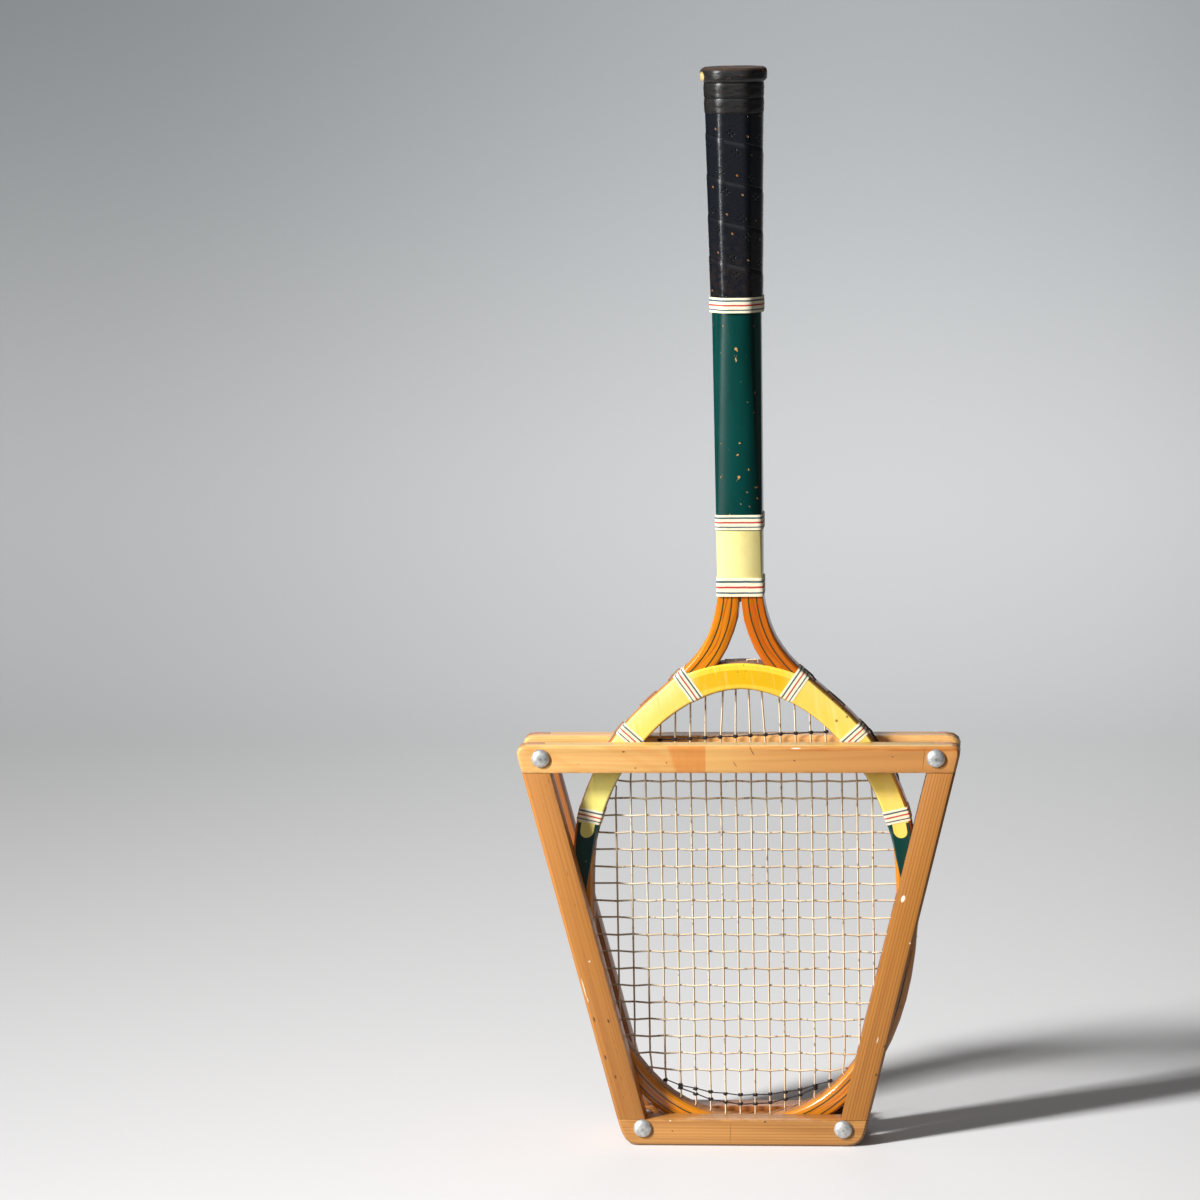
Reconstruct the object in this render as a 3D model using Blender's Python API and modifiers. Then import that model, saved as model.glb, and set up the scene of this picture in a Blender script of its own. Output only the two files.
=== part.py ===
"""Wooden tennis racket standing in its four-bolt screw press.

The racket stands on its tip with the handle up, between the two frames of the press.
X runs to the right, Y away from the viewer and Z up. The racket's flat faces and the
press frames face along Y. Turning the four wing nuts lets the back frame slide away
along the bolts, and the racket then lifts out.
"""
import math

import bmesh
import bpy
from mathutils import Matrix, Vector

MM = 0.001

# Fits
GAP = 0.3 * MM              # between pieces that touch, are glued or run on each other
TAPE = 0.3 * MM             # wall of a binding

# Racket: heights are measured from its tip, half widths from its long axis
RACKET_LENGTH = 685.8 * MM
RACKET_SHIFT = 1.8 * MM     # it stands a little to the right in the press
TIP_LIFT = 0.5 * MM         # tip above the floor
BOW_THICK = 18.0 * MM       # front face to back face
BOW_EDGE = 1.6 * MM         # broken edges of the bow, from the throat down
BOW_SHARP = 0.3 * MM        # its edges at the throat
EDGE_RUN = 50.0 * MM        # length over which the edges change
OUTER_PLY = 3.9 * MM
CORE_PLY = 4.8 * MM
INNER_PLY = 4.2 * MM
PLIES = (OUTER_PLY, CORE_PLY, INNER_PLY)
BOW_WIDTH = sum(PLIES) + (len(PLIES) - 1) * GAP

# Opening of the head: two half superellipses with a short straight side between them
OPEN_HALF = 97.0 * MM       # half width of the opening
OPEN_DROP = 143.7 * MM      # widest line down to the opening's lowest point
OPEN_STRAIGHT = 12.7 * MM
TIP_POWER = 2.19
SHOULDER_POWER = 1.84
WIDEST = BOW_WIDTH + OPEN_DROP
HEAD_HALF = OPEN_HALF + BOW_WIDTH

# Bridge, its heights from the widest line
BRIDGE_TOP = WIDEST + 152.7 * MM    # top of its arched upper face, in the throat
BRIDGE_ARCH = 1.5 * MM              # how much lower that face meets the legs
BRIDGE_DEPTH = 16.7 * MM
YOKE_END = WIDEST + 46.8 * MM       # where its thin ends stop

# Flare of the bow from the widest line up into the shaft:
# height above the widest line, and share of the way from shaft to head
FLARE = (
    (22.5 * MM, 0.994),
    (46.5 * MM, 0.966),
    (61.5 * MM, 0.930),
    (83.2 * MM, 0.839),
    (99.3 * MM, 0.741),
    (113.5 * MM, 0.626),
    (124.2 * MM, 0.517),
    (135.0 * MM, 0.391),
    (145.5 * MM, 0.270),
    (155.8 * MM, 0.1634),
    (168.5 * MM, 0.077),
    (183.0 * MM, 0.0238),
    (195.5 * MM, 0.0),
)

THROAT_END = WIDEST + FLARE[-1][0]
SHAFT_HALF = 14.2 * MM
WEDGE_TIP = 3.7 * MM        # how far the wedge shows between the legs

# Fullness of the legs: height under the throat's end, and times the bow's width
FULLNESS = (
    (148.7 * MM, 1.0),
    (52.7 * MM, 1.06),
    (37.0 * MM, 1.08),
    (11.0 * MM, 1.08),
    (0.0 * MM, 1.0),
)

# Shaft and handle: heights of the stations, with the wood's half width, half depth,
# and half the front flat and half the side flat between the slanted corner faces
BAND_HEIGHT = 9.3 * MM
CAP_HEIGHT = 9.1 * MM
GRIP_LENGTH = 114.4 * MM
BUTT_ROOM = 2.5 * MM        # the wood ends this far inside the cap's end
GRIP_END = RACKET_LENGTH - CAP_HEIGHT - 2 * BAND_HEIGHT - 3 * GAP
GRIP_START = GRIP_END - GRIP_LENGTH
RING_HEIGHT = 9.6 * MM
GRIP_RING = (GRIP_START - GAP - RING_HEIGHT, GRIP_START - GAP)
UPPER_RING = (THROAT_END + 42.5 * MM, THROAT_END + 42.5 * MM + RING_HEIGHT)
LOWER_RING = (THROAT_END, THROAT_END + 11.8 * MM)
HANDLE = (
    (THROAT_END, SHAFT_HALF, 9.9 * MM, 13.4 * MM, 9.1 * MM),
    ((UPPER_RING[0] + UPPER_RING[1]) / 2, 14.5 * MM, 10.4 * MM, 12.9 * MM, 8.8 * MM),
    (GRIP_RING[1], 15.4 * MM, 13.3 * MM, 7.6 * MM, 5.6 * MM),
    (GRIP_END, 17.0 * MM, 14.7 * MM, 8.3 * MM, 6.0 * MM),
    (RACKET_LENGTH - BUTT_ROOM, 17.5 * MM, 15.1 * MM, 8.5 * MM, 6.1 * MM),
)
LEATHER = 0.8 * MM
BAND_WALL = 1.0 * MM
CAP_FLARE = 3.1 * MM
CAP_END_WALL = 1.6 * MM
RING_WALL = 0.45 * MM
GRIP_RING_WALL = 1.4 * MM

# Bindings round the bow: height of their middle on its outer face and on its inner wall
BINDINGS = {
    "throat": (WIDEST + 146.0 * MM, WIDEST + 129.1 * MM),
    "shoulder": (WIDEST + 110.4 * MM, WIDEST + 99.4 * MM),
    "side": (WIDEST + 55.6 * MM, WIDEST + 52.2 * MM),
}
BINDING_WIDTH = 7.5 * MM

# Strings
MAIN_COUNT = 18
MAIN_PITCH = 9.64 * MM
CROSS_COUNT = 20
CROSS_PITCH = 11.11 * MM
LOWEST_CROSS = 43.1 * MM
STRING_RADIUS = 0.62 * MM
CROSSING_GAP = 0.42 * MM            # between two strings where they cross
WEAVE = 2 * STRING_RADIUS + CROSSING_GAP
HOLE_ROW = 1.2 * MM                 # mains' holes this far in front, crosses' behind
HOLE_RADIUS = 1.18 * MM
HOLE_SPACE = 3.6 * MM               # least distance from hole to hole along the wall
HOLE_LEAD = 1.0 * MM                # a string is straight this far before its hole
NEAR_WALL = 3.0 * MM
BRIDGE_HOLES = 16.0 * MM            # mains nearer the axis come out in the throat
BRIDGE_PINCH = 0.84                 # how much closer these stand at the bridge
BRIDGE_SLANT = 0.85                 # how far their holes lean to the axis
GROOVE_TOP = 120.0 * MM             # groove for the strings round the outside of the tip
GROOVE_DEPTH = 2.5 * MM
GROOVE_HALF = 2.7 * MM
YARN_RADIUS = 0.35 * MM
YARN_ROOM = 4.0 * MM                # from a yarn's last string to the wall
THROAT_YARN_RISE = 7.3 * MM         # over the highest cross
THROAT_YARN_TILT = 0.05
# Yarns at the tip: height over the opening's lowest point, rise to the sides, and its reach
TIP_YARNS = {
    "upper": (13.3 * MM, 11.5 * MM, 58.0 * MM),
    "lower": (7.3 * MM, 13.5 * MM, 49.0 * MM),
}
LOOP_STEP = 5.0 * MM                # from point to point of a string outside the bow

# Press, seen from the front
PRESS_TOP = 283.7 * MM
PRESS_BOTTOM = 152.3 * MM
PRESS_HEIGHT = 260.0 * MM
RAIL_FACE = 17.2 * MM       # face width of the level rails
SIDE_FACE = 17.4 * MM       # face width of the slanted rails
RAIL_THICK = 16.5 * MM
RAIL_EDGE = 1.6 * MM
FRAME_GAP = BOW_THICK + 2 * (GAP + TAPE + GAP)
TOP_BOLT_INSET = (16.65 * MM, 7.8 * MM)         # from the frame's corner
BOTTOM_BOLT_INSET = (11.95 * MM, 11.6 * MM)
TOP_BOLT = (PRESS_TOP / 2 - TOP_BOLT_INSET[0], PRESS_HEIGHT - TOP_BOLT_INSET[1])
BOTTOM_BOLT = (PRESS_BOTTOM / 2 - BOTTOM_BOLT_INSET[0], BOTTOM_BOLT_INSET[1])
BOLT_RADIUS = 3.175 * MM
BOLT_LENGTH = 76.2 * MM
BOLT_HEAD_RADIUS = 5.9 * MM
BOLT_HEAD_HEIGHT = 3.0 * MM
NECK_LENGTH = 4.0 * MM
WASHER_RADIUS = 8.0 * MM
WASHER_WALL = 1.2 * MM
NUT_HEIGHT = 8.5 * MM
NUT_RADIUS = 6.2 * MM
NUT_TOP_RADIUS = 4.9 * MM
WING_SPAN = 11.0 * MM       # a wing's reach from the bolt's axis; it turns clear of the floor
WING_RISE = 13.0 * MM
WING_WALL = 2.2 * MM

# Corner rounding of each frame: reach along the slanted side, reach along the level rail
CORNERS = {
    "front": {
        "top_left": (7.5 * MM, 7.5 * MM),
        "top_right": (7.5 * MM, 7.5 * MM),
        "bottom_left": (15.0 * MM, 8.0 * MM),
        "bottom_right": (10.0 * MM, 10.0 * MM),
    },
    "back": {
        "top_left": (9.0 * MM, 9.0 * MM),
        "top_right": (12.0 * MM, 12.0 * MM),
        "bottom_left": (9.0 * MM, 9.0 * MM),
        "bottom_right": (10.0 * MM, 10.0 * MM),
    },
}
LEVEL_RAILS = ("top", "bottom")     # at a half lap these show on the viewer's side

FRONT_FACE = -(FRAME_GAP / 2 + RAIL_THICK)
BACK_FACE = FRAME_GAP / 2 + RAIL_THICK
BOLT_SEAT = FRONT_FACE - GAP
BOLT_END = BOLT_SEAT + BOLT_LENGTH
MIDDLE = (BOLT_SEAT - BOLT_HEAD_HEIGHT + BOLT_END) / 2

STEPS = 10                  # sides of a turned piece
HEAD_STEPS = 32             # points round the lower half of the bow
FLARE_STEPS = 2             # points from one flare station to the next
ARCH_STEPS = 8              # faces of the bridge's arched top


def clear_scene():
    for old in list(bpy.data.objects):
        bpy.data.objects.remove(old)


def new_collection(name):
    group = bpy.data.collections.new(name)
    bpy.context.scene.collection.children.link(group)
    return group


def finish(name, colour, roughness, metallic=0.0):
    material = bpy.data.materials.new(name)
    material.use_nodes = True
    shader = material.node_tree.nodes["Principled BSDF"]
    shader.inputs["Base Color"].default_value = (*colour, 1.0)
    shader.inputs["Roughness"].default_value = roughness
    shader.inputs["Metallic"].default_value = metallic
    return material


def anchor(name, place, parent=None):
    empty = bpy.data.objects.new(name, None)
    empty.location = place
    empty.parent = parent
    MODEL.objects.link(empty)
    return empty


def add_piece(name, mesh, parent, look, place=(0, 0, 0), turn=(0, 0, 0), smooth=True):
    piece = bpy.data.objects.new(name, mesh)
    piece.location = place
    piece.rotation_euler = turn
    piece.parent = parent
    material = finish(name + "_finish", *look)
    mesh.materials.clear()
    mesh.materials.append(material)
    if smooth:
        mesh.shade_smooth()
        mesh.set_sharp_from_angle(angle=math.radians(35))
    MODEL.objects.link(piece)
    return piece


def add_cutter(name, mesh, parent, place=(0, 0, 0), turn=(0, 0, 0)):
    cutter = bpy.data.objects.new(name, mesh)
    cutter.location = place
    cutter.rotation_euler = turn
    cutter.parent = parent
    cutter.hide_render = True
    cutter.display_type = "WIRE"
    CUTTERS.objects.link(cutter)
    return cutter


def combine(piece, other, operation="DIFFERENCE"):
    modifier = piece.modifiers.new(operation.lower() + "_" + other.name, "BOOLEAN")
    modifier.operation = operation
    modifier.object = other


def tidy(mesh):
    """Weld loose caps and turn the faces out."""
    shape = bmesh.new()
    shape.from_mesh(mesh)
    bmesh.ops.remove_doubles(shape, verts=shape.verts, dist=0.00001)
    bmesh.ops.recalc_face_normals(shape, faces=shape.faces)
    shape.to_mesh(mesh)
    shape.free()
    return mesh


def curve_mesh(name, data):
    """The mesh of a curve, with its caps welded."""
    source = bpy.data.objects.new(name, data)
    bpy.context.scene.collection.objects.link(source)
    graph = bpy.context.evaluated_depsgraph_get()
    mesh = bpy.data.meshes.new_from_object(source.evaluated_get(graph))
    mesh.name = name
    bpy.data.objects.remove(source)
    return tidy(mesh)


FACE_ON = Matrix.Rotation(math.pi / 2, 4, "X")      # drawing plane to the X-Z plane


def plate(name, outline, thick):
    """A flat outline in X and Z, half its thickness to each side of Y = 0."""
    data = bpy.data.curves.new(name, "CURVE")
    data.dimensions = "2D"
    data.fill_mode = "BOTH"
    data.extrude = thick / 2
    spline = data.splines.new("POLY")
    spline.points.add(len(outline) - 1)
    for point, (x, z) in zip(spline.points, outline):
        point.co = (x, z, 0, 1)
    spline.use_cyclic_u = True
    mesh = curve_mesh(name, data)
    mesh.transform(FACE_ON)
    return mesh


def strip(name, path, width, thick):
    """A strip of even section swept along a path in X and Z."""
    corners = [(x * width / 2, y * thick / 2) for x, y in ((-1, 1), (-1, -1), (1, -1), (1, 1))]
    section = bpy.data.curves.new(name + "_section", "CURVE")
    section.dimensions = "2D"
    loop = section.splines.new("POLY")
    loop.points.add(len(corners) - 1)
    for point, (x, y) in zip(loop.points, corners):
        point.co = (x, y, 0, 1)
    loop.use_cyclic_u = True
    guide = bpy.data.objects.new(name + "_section", section)
    bpy.context.scene.collection.objects.link(guide)
    data = bpy.data.curves.new(name, "CURVE")
    data.dimensions = "2D"
    data.bevel_mode = "OBJECT"
    data.bevel_object = guide
    data.use_fill_caps = True
    spline = data.splines.new("POLY")
    spline.points.add(len(path) - 1)
    for point, (x, z) in zip(spline.points, path):
        point.co = (x, z, 0, 1)
    mesh = curve_mesh(name, data)
    mesh.transform(FACE_ON)
    bpy.data.objects.remove(guide)
    return mesh


def tube(name, points, radius, sides=4):
    """A round cord through points in space."""
    data = bpy.data.curves.new(name, "CURVE")
    data.dimensions = "3D"
    data.bevel_depth = radius
    data.bevel_resolution = sides // 2 - 2
    data.use_fill_caps = True
    spline = data.splines.new("POLY")
    spline.points.add(len(points) - 1)
    for point, place in zip(spline.points, points):
        point.co = (*place, 1)
    return curve_mesh(name, data)


def loft(name, rings, cyclic=False):
    """Skin through rings of equal count; the ends are closed unless the last meets the first."""
    shape = bmesh.new()
    loops = [[shape.verts.new(point) for point in ring] for ring in rings]
    count = len(rings[0])
    pairs = list(zip(loops, loops[1:]))
    if cyclic:
        pairs.append((loops[-1], loops[0]))
    for lower, upper in pairs:
        for k in range(count):
            n = (k + 1) % count
            shape.faces.new((lower[k], lower[n], upper[n], upper[k]))
    if not cyclic:
        shape.faces.new(loops[0])
        shape.faces.new(loops[-1])
    bmesh.ops.recalc_face_normals(shape, faces=shape.faces)
    mesh = bpy.data.meshes.new(name)
    shape.to_mesh(mesh)
    shape.free()
    return mesh


def turned(name, profile, closed=False):
    """A profile of radius and height, turned about Z; it runs down its outer side."""
    mesh = bpy.data.meshes.new(name)
    edges = [(k, k + 1) for k in range(len(profile) - 1)]
    if closed:
        edges.append((len(profile) - 1, 0))
    mesh.from_pydata([(radius, 0, height) for radius, height in profile], edges, [])
    source = bpy.data.objects.new(name, mesh)
    bpy.context.scene.collection.objects.link(source)
    screw = source.modifiers.new("turn", "SCREW")
    screw.steps = STEPS
    screw.render_steps = STEPS
    screw.use_merge_vertices = True
    screw.merge_threshold = 0.00001
    graph = bpy.context.evaluated_depsgraph_get()
    solid = bpy.data.meshes.new_from_object(source.evaluated_get(graph))
    solid.name = name
    bpy.data.objects.remove(source)
    return tidy(solid)


def cylinders(name, ends, radius, sides):
    """Round or square bars between pairs of points, in one mesh."""
    shape = bmesh.new()
    for start, end in ends:
        line = Vector(end) - Vector(start)
        turn = line.to_track_quat("Z", "Y").to_matrix().to_4x4()
        middle = Matrix.Translation((Vector(start) + Vector(end)) / 2)
        bmesh.ops.create_cone(
            shape, cap_ends=True, segments=sides, radius1=radius, radius2=radius,
            depth=line.length, matrix=middle @ turn,
        )
    mesh = bpy.data.meshes.new(name)
    shape.to_mesh(mesh)
    shape.free()
    return mesh


def through(points, steps):
    """A smooth line through points, with a few steps from each to the next."""
    line = []
    for k in range(len(points) - 1):
        before = points[max(k - 1, 0)]
        start, end = points[k], points[k + 1]
        after = points[min(k + 2, len(points) - 1)]
        for step in range(steps):
            t = step / steps
            line.append(tuple(
                0.5 * (2 * b + (c - a) * t + (2 * a - 5 * b + 4 * c - d) * t * t
                       + (3 * b - a - 3 * c + d) * t ** 3)
                for a, b, c, d in zip(before, start, end, after)
            ))
    line.append(points[-1])
    return line


class Line:
    """A line in X and Z that is measured along its length."""

    def __init__(self, points):
        self.points = [Vector(point) for point in points]
        self.marks = [0.0]
        for a, b in zip(self.points, self.points[1:]):
            self.marks.append(self.marks[-1] + (b - a).length)
        self.length = self.marks[-1]

    def span(self, mark):
        low, high = 0, len(self.marks) - 2
        while low < high:
            middle = (low + high + 1) // 2
            if self.marks[middle] <= mark:
                low = middle
            else:
                high = middle - 1
        return low

    def at(self, mark):
        k = self.span(mark)
        share = (mark - self.marks[k]) / (self.marks[k + 1] - self.marks[k])
        return self.points[k].lerp(self.points[k + 1], share)

    def outward(self, mark):
        """Unit normal on the left of the line's direction."""
        k = self.span(mark)
        run = self.points[k + 1] - self.points[k]
        return Vector((-run.y, run.x)).normalized()

    def nearest(self, place):
        best = None
        for k, (a, b) in enumerate(zip(self.points, self.points[1:])):
            run = b - a
            share = min(max((place - a).dot(run) / run.length_squared, 0.0), 1.0)
            distance = (a + run * share - place).length
            if best is None or distance < best[0]:
                best = (distance, self.marks[k] + share * run.length)
        return best[1]

    def crossing(self, axis, value, after=0.0):
        """Marks where the line meets a level of X (axis 0) or Z (axis 1)."""
        marks = []
        for k, (a, b) in enumerate(zip(self.points, self.points[1:])):
            if (a[axis] <= value) != (b[axis] <= value):
                share = (value - a[axis]) / (b[axis] - a[axis])
                mark = self.marks[k] + share * (b - a).length
                if mark >= after:
                    marks.append(mark)
        return marks


def blend_row(table, height):
    """A row of values at a height, read between the rows of a table."""
    if height <= table[0][0]:
        return table[0][1:]
    for low, high in zip(table, table[1:]):
        if height <= high[0]:
            share = (height - low[0]) / (high[0] - low[0])
            return tuple(a + (b - a) * share for a, b in zip(low[1:], high[1:]))
    return table[-1][1:]


def quarter(angle, half, reach, power):
    """A point of a superellipse's quarter, from its side (0) to its end (90 degrees)."""
    return (
        half * math.cos(angle) ** (2 / power),
        reach * math.sin(angle) ** (2 / power),
    )


def lower_half(half, reach, power, steps):
    """Lower half of a superellipse from its right side to its left side."""
    line = []
    for k in range(steps + 1):
        angle = math.pi * k / steps
        x, drop = quarter(min(angle, math.pi - angle), half, reach, power)
        line.append((x if angle <= math.pi / 2 else -x, -drop))
    return line


def bow_outline():
    """Outer face of the bow, from the right of the handle's end round to the left."""
    right = [(half, height) for height, half, _, _, _ in reversed(HANDLE)]
    flare = [(HEAD_HALF, WIDEST)]
    for height, share in FLARE:
        flare.append((SHAFT_HALF + (HEAD_HALF - SHAFT_HALF) * share, WIDEST + height))
    right[-1:] = reversed(through(flare, FLARE_STEPS))
    lower = [(x, WIDEST + z) for x, z in lower_half(HEAD_HALF, WIDEST, TIP_POWER, HEAD_STEPS)]
    left = [(-x, z) for x, z in reversed(right)]
    return right[:-1] + lower + left[1:]


def opening_outline(steps):
    """Inner wall of the head, closed, from the right of its straight side clockwise."""
    lower = [(x, WIDEST + z) for x, z in lower_half(OPEN_HALF, OPEN_DROP, TIP_POWER, steps)]
    level = WIDEST + OPEN_STRAIGHT
    rise = BRIDGE_TOP - BRIDGE_DEPTH - level
    upper = [(-x, level - z) for x, z in lower_half(OPEN_HALF, rise, SHOULDER_POWER, steps)]
    return lower + upper


def outward_at(line):
    """Unit normal at every point of a line, on the left of its direction."""
    normals = []
    for k in range(len(line)):
        run = Vector(line[min(k + 1, len(line) - 1)]) - Vector(line[max(k - 1, 0)])
        normals.append(Vector((-run.y, run.x)).normalized())
    return normals


def offset(line, distance):
    """The line moved outwards, or inwards if the distance is negative."""
    return [tuple(Vector(p) + out * distance) for p, out in zip(line, outward_at(line))]


def outer_edge(height):
    """What is taken off the bow's outer edges at a height: from its face and from its side."""
    face = BOW_THICK / 2
    if height >= THROAT_END:
        row = blend_row(HANDLE, height)
        return max(row[0] - slant_at(row, face), BOW_SHARP), max(face - row[3], BOW_SHARP)
    reach = inner_edge(height)[0]
    return reach, reach


def inner_edge(height):
    """The same for the inner edges, which stay sharp where the two legs meet."""
    share = min(max((THROAT_END - height) / EDGE_RUN, 0.0), 1.0)
    reach = BOW_SHARP + (BOW_EDGE - BOW_SHARP) * share
    return reach, reach


def ply_section(number, depth, width, height):
    """Section of a ply at a height: depth under the bow's outer face, and Y."""
    face = BOW_THICK / 2
    section = [(depth, face), (depth, -face), (depth + width, -face), (depth + width, face)]
    if number == 0:
        reach, drop = outer_edge(height)
        section[:2] = [(reach, face), (0.0, face - drop), (0.0, drop - face), (reach, -face)]
    if number == len(PLIES) - 1:
        reach, drop = inner_edge(height)
        far = depth + width
        section[-2:] = [(far - reach, -face), (far, drop - face), (far, face - drop), (far - reach, face)]
    return section


def fullness(height):
    """Thickness of the plies at a height, as times their thickness round the head."""
    table = [(THROAT_END - drop, share) for drop, share in FULLNESS]
    return blend_row(table, height)[0]


def leg_face():
    """The bow's inner face, with the clearance of what is glued to it."""
    return [
        tuple(Vector(p) - out * (BOW_WIDTH * fullness(p[1]) + GAP))
        for p, out in zip(OUTER, outward_at(OUTER))
    ]


def bow_plies(racket, cutters):
    """Bent strips glued side by side, from one end of the handle round the head and back."""
    names = ("bow_outer_ply", "bow_core_ply", "bow_inner_ply")
    looks = (((0.62, 0.32, 0.12), 0.35), ((0.52, 0.26, 0.10), 0.4), ((0.66, 0.38, 0.18), 0.35))
    normals = outward_at(OUTER)
    depth = 0.0
    for number, (name, width) in enumerate(zip(names, PLIES)):
        rings = []
        for place, out in zip(OUTER, normals):
            full = fullness(place[1])
            section = [(d * full, y) for d, y in ply_section(number, depth, width, place[1])]
            rings.append([(place[0] - out.x * d, y, place[1] - out.y * d) for d, y in section])
        ply = add_piece(name, loft(name, rings), racket, looks[number])
        if number == 0:
            combine(ply, cutters["groove"])
        combine(ply, cutters["string_holes"])
        depth += width + GAP


def string_groove(racket):
    """Groove round the outside of the tip, which keeps the strings off the ground."""
    marks = OUTER_LINE.crossing(1, GROOVE_TOP)
    path = []
    for k in range(HEAD_STEPS + 1):
        path.append(tuple(OUTER_LINE.at(marks[0] + (marks[1] - marks[0]) * k / HEAD_STEPS)))
    reach = 3 * MM
    path = offset(path, (reach - GROOVE_DEPTH) / 2)
    mesh = strip("groove", path, GROOVE_DEPTH + reach, 2 * GROOVE_HALF)
    return add_cutter("string_groove", mesh, racket)


def throat_bridge(racket, cutters):
    """Bridge that closes the head; its ends taper out along the shoulders."""
    line = Line(leg_face())
    top = line.crossing(1, BRIDGE_TOP - BRIDGE_ARCH)
    foot = line.crossing(1, YOKE_END)
    half = line.at(top[0]).x
    blank = [tuple(line.at(top[0]))]
    blank += [tuple(p) for p, m in zip(line.points, line.marks) if top[0] < m < foot[0]]
    blank.append(tuple(line.at(foot[0])))
    blank.append(tuple(line.at(foot[1])))
    blank += [tuple(p) for p, m in zip(line.points, line.marks) if foot[1] < m < top[1]]
    blank.append(tuple(line.at(top[1])))
    for k in range(1, ARCH_STEPS):
        share = 2 * k / ARCH_STEPS - 1
        blank.append((half * share, BRIDGE_TOP - BRIDGE_ARCH * share * share))
    look = ((0.72, 0.45, 0.22), 0.35)
    bridge = add_piece("throat_bridge", plate("throat_bridge", blank, BOW_THICK), racket, look)
    opening = plate("opening", opening_outline(HEAD_STEPS), BOW_THICK * 2)
    combine(bridge, add_cutter("head_opening", opening, racket))
    combine(bridge, cutters["string_holes"])


def throat_wedge(racket):
    """Thin wedge that parts the two legs of the bow inside shaft and handle."""
    face = Line(leg_face())
    tip = THROAT_END - WEDGE_TIP
    right = [(face.at(face.crossing(1, tip)[0]).x, tip)]
    right += [(half - BOW_WIDTH - GAP, height) for height, half, _, _, _ in HANDLE]
    left = [(-reach, height) for reach, height in reversed(right)]
    mesh = plate("throat_wedge", right + left, BOW_THICK)
    add_piece("throat_wedge", mesh, racket, ((0.35, 0.15, 0.07), 0.4), smooth=False)


def slant_at(row, depth):
    """Half width of the handle at a depth from its middle plane."""
    half, deep, front, flank = row
    if depth <= flank:
        return half
    return half + (front - half) * (depth - flank) / (deep - flank)


def handle_cheek(racket, name, face):
    """Overlay on one face of shaft and handle, planed to the octagon."""
    seat = BOW_THICK / 2 + GAP
    rings = []
    for height, *row in HANDLE:
        wide = slant_at(row, seat)
        deep, front = row[1], row[2]
        rings.append([
            (-wide, face * seat, height), (wide, face * seat, height),
            (front, face * deep, height), (-front, face * deep, height),
        ])
    add_piece(name, loft(name, rings), racket, ((0.02, 0.16, 0.14), 0.3))


def octagon(height, grow):
    """The handle's section at a height, each face moved out by grow."""
    half, deep, front, flank = blend_row(HANDLE, height)
    slant = Vector((deep - flank, half - front)).normalized()
    wide, tall = half + grow, deep + grow
    edge = slant.x * front + slant.y * deep + grow
    top = (edge - slant.y * tall) / slant.x
    side = (edge - slant.x * wide) / slant.y
    corners = [(top, tall), (wide, side), (wide, -side), (top, -tall)]
    corners += [(-x, -y) for x, y in corners]
    return [(x, -y, height) for x, y in corners]


def sleeve_mesh(name, rows, inner):
    """A sleeve round the handle: rows of height and outer growth, with an even bore."""
    outside = [octagon(height, grow) for height, grow in rows]
    inside = [octagon(height, inner) for height, _ in reversed(rows)]
    return loft(name, outside + inside, cyclic=True)


def sleeve(racket, name, start, end, wall, look):
    rows = [(start, GAP + wall)]
    rows += [(row[0], GAP + wall) for row in HANDLE if start < row[0] < end]
    rows.append((end, GAP + wall))
    return add_piece(name, sleeve_mesh(name, rows, GAP), racket, look)


def butt_cap(racket):
    """Flared end cap over the wood's end."""
    foot = GRIP_END + 2 * (BAND_HEIGHT + GAP) + GAP
    end = RACKET_LENGTH
    wood = HANDLE[-1][0]
    rise = end - foot
    outside = [
        octagon(foot, GAP + BAND_WALL),
        octagon(foot + 0.28 * rise, GAP + CAP_FLARE),
        octagon(foot + 0.68 * rise, GAP + CAP_FLARE),
        octagon(foot + 0.9 * rise, GAP + 0.7 * CAP_FLARE),
        octagon(end, 0.0),
    ]
    outside = [[(x, y, z) for x, y, _ in ring] for ring, z in zip(
        outside, (foot, foot + 0.28 * rise, foot + 0.68 * rise, foot + 0.9 * rise, end))]
    roof = min(wood + 2 * GAP, end - CAP_END_WALL)
    rings = [octagon(roof, GAP), octagon(foot, GAP)]
    rings = [[(x, y, z) for x, y, _ in ring] for ring, z in zip(rings, (roof, foot))]
    mesh = loft("butt_cap", rings + outside)
    add_piece("butt_cap", mesh, racket, ((0.05, 0.03, 0.02), 0.45))


def handle_dressing(racket):
    """Leather grip, bands and rings of tape."""
    leather = ((0.03, 0.04, 0.06), 0.4)
    band = ((0.05, 0.05, 0.05), 0.5)
    tape = ((0.85, 0.8, 0.68), 0.6)
    sleeve(racket, "leather_grip", GRIP_START, GRIP_END, LEATHER, leather)
    low = GRIP_END + GAP
    high = low + BAND_HEIGHT + GAP
    sleeve(racket, "butt_tape_lower", low, low + BAND_HEIGHT, BAND_WALL, band)
    sleeve(racket, "butt_tape_upper", high, high + BAND_HEIGHT, BAND_WALL, band)
    sleeve(racket, "grip_ring", *GRIP_RING, GRIP_RING_WALL, tape)
    sleeve(racket, "shaft_ring_upper", *UPPER_RING, RING_WALL, tape)
    sleeve(racket, "shaft_ring_lower", *LOWER_RING, RING_WALL, tape)


def outer_mark(height, side):
    """Place along the bow's outer face at a height, on the right (1) or the left (-1)."""
    marks = OUTER_LINE.crossing(1, height)
    return marks[0] if side > 0 else marks[-1]


def wound_edge(line, middle, out, build):
    """The two ends of a binding's edge along a wall, moved off it and lengthened."""
    half = BINDING_WIDTH / 2
    start, end = line.at(middle - half), line.at(middle + half)
    run = (end - start).normalized()
    away = Vector((-run.y, run.x)) * out
    longer = run * MM if build == GAP else run * 0
    return [tuple(start + away * build - longer), tuple(end + away * build + longer)]


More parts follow.
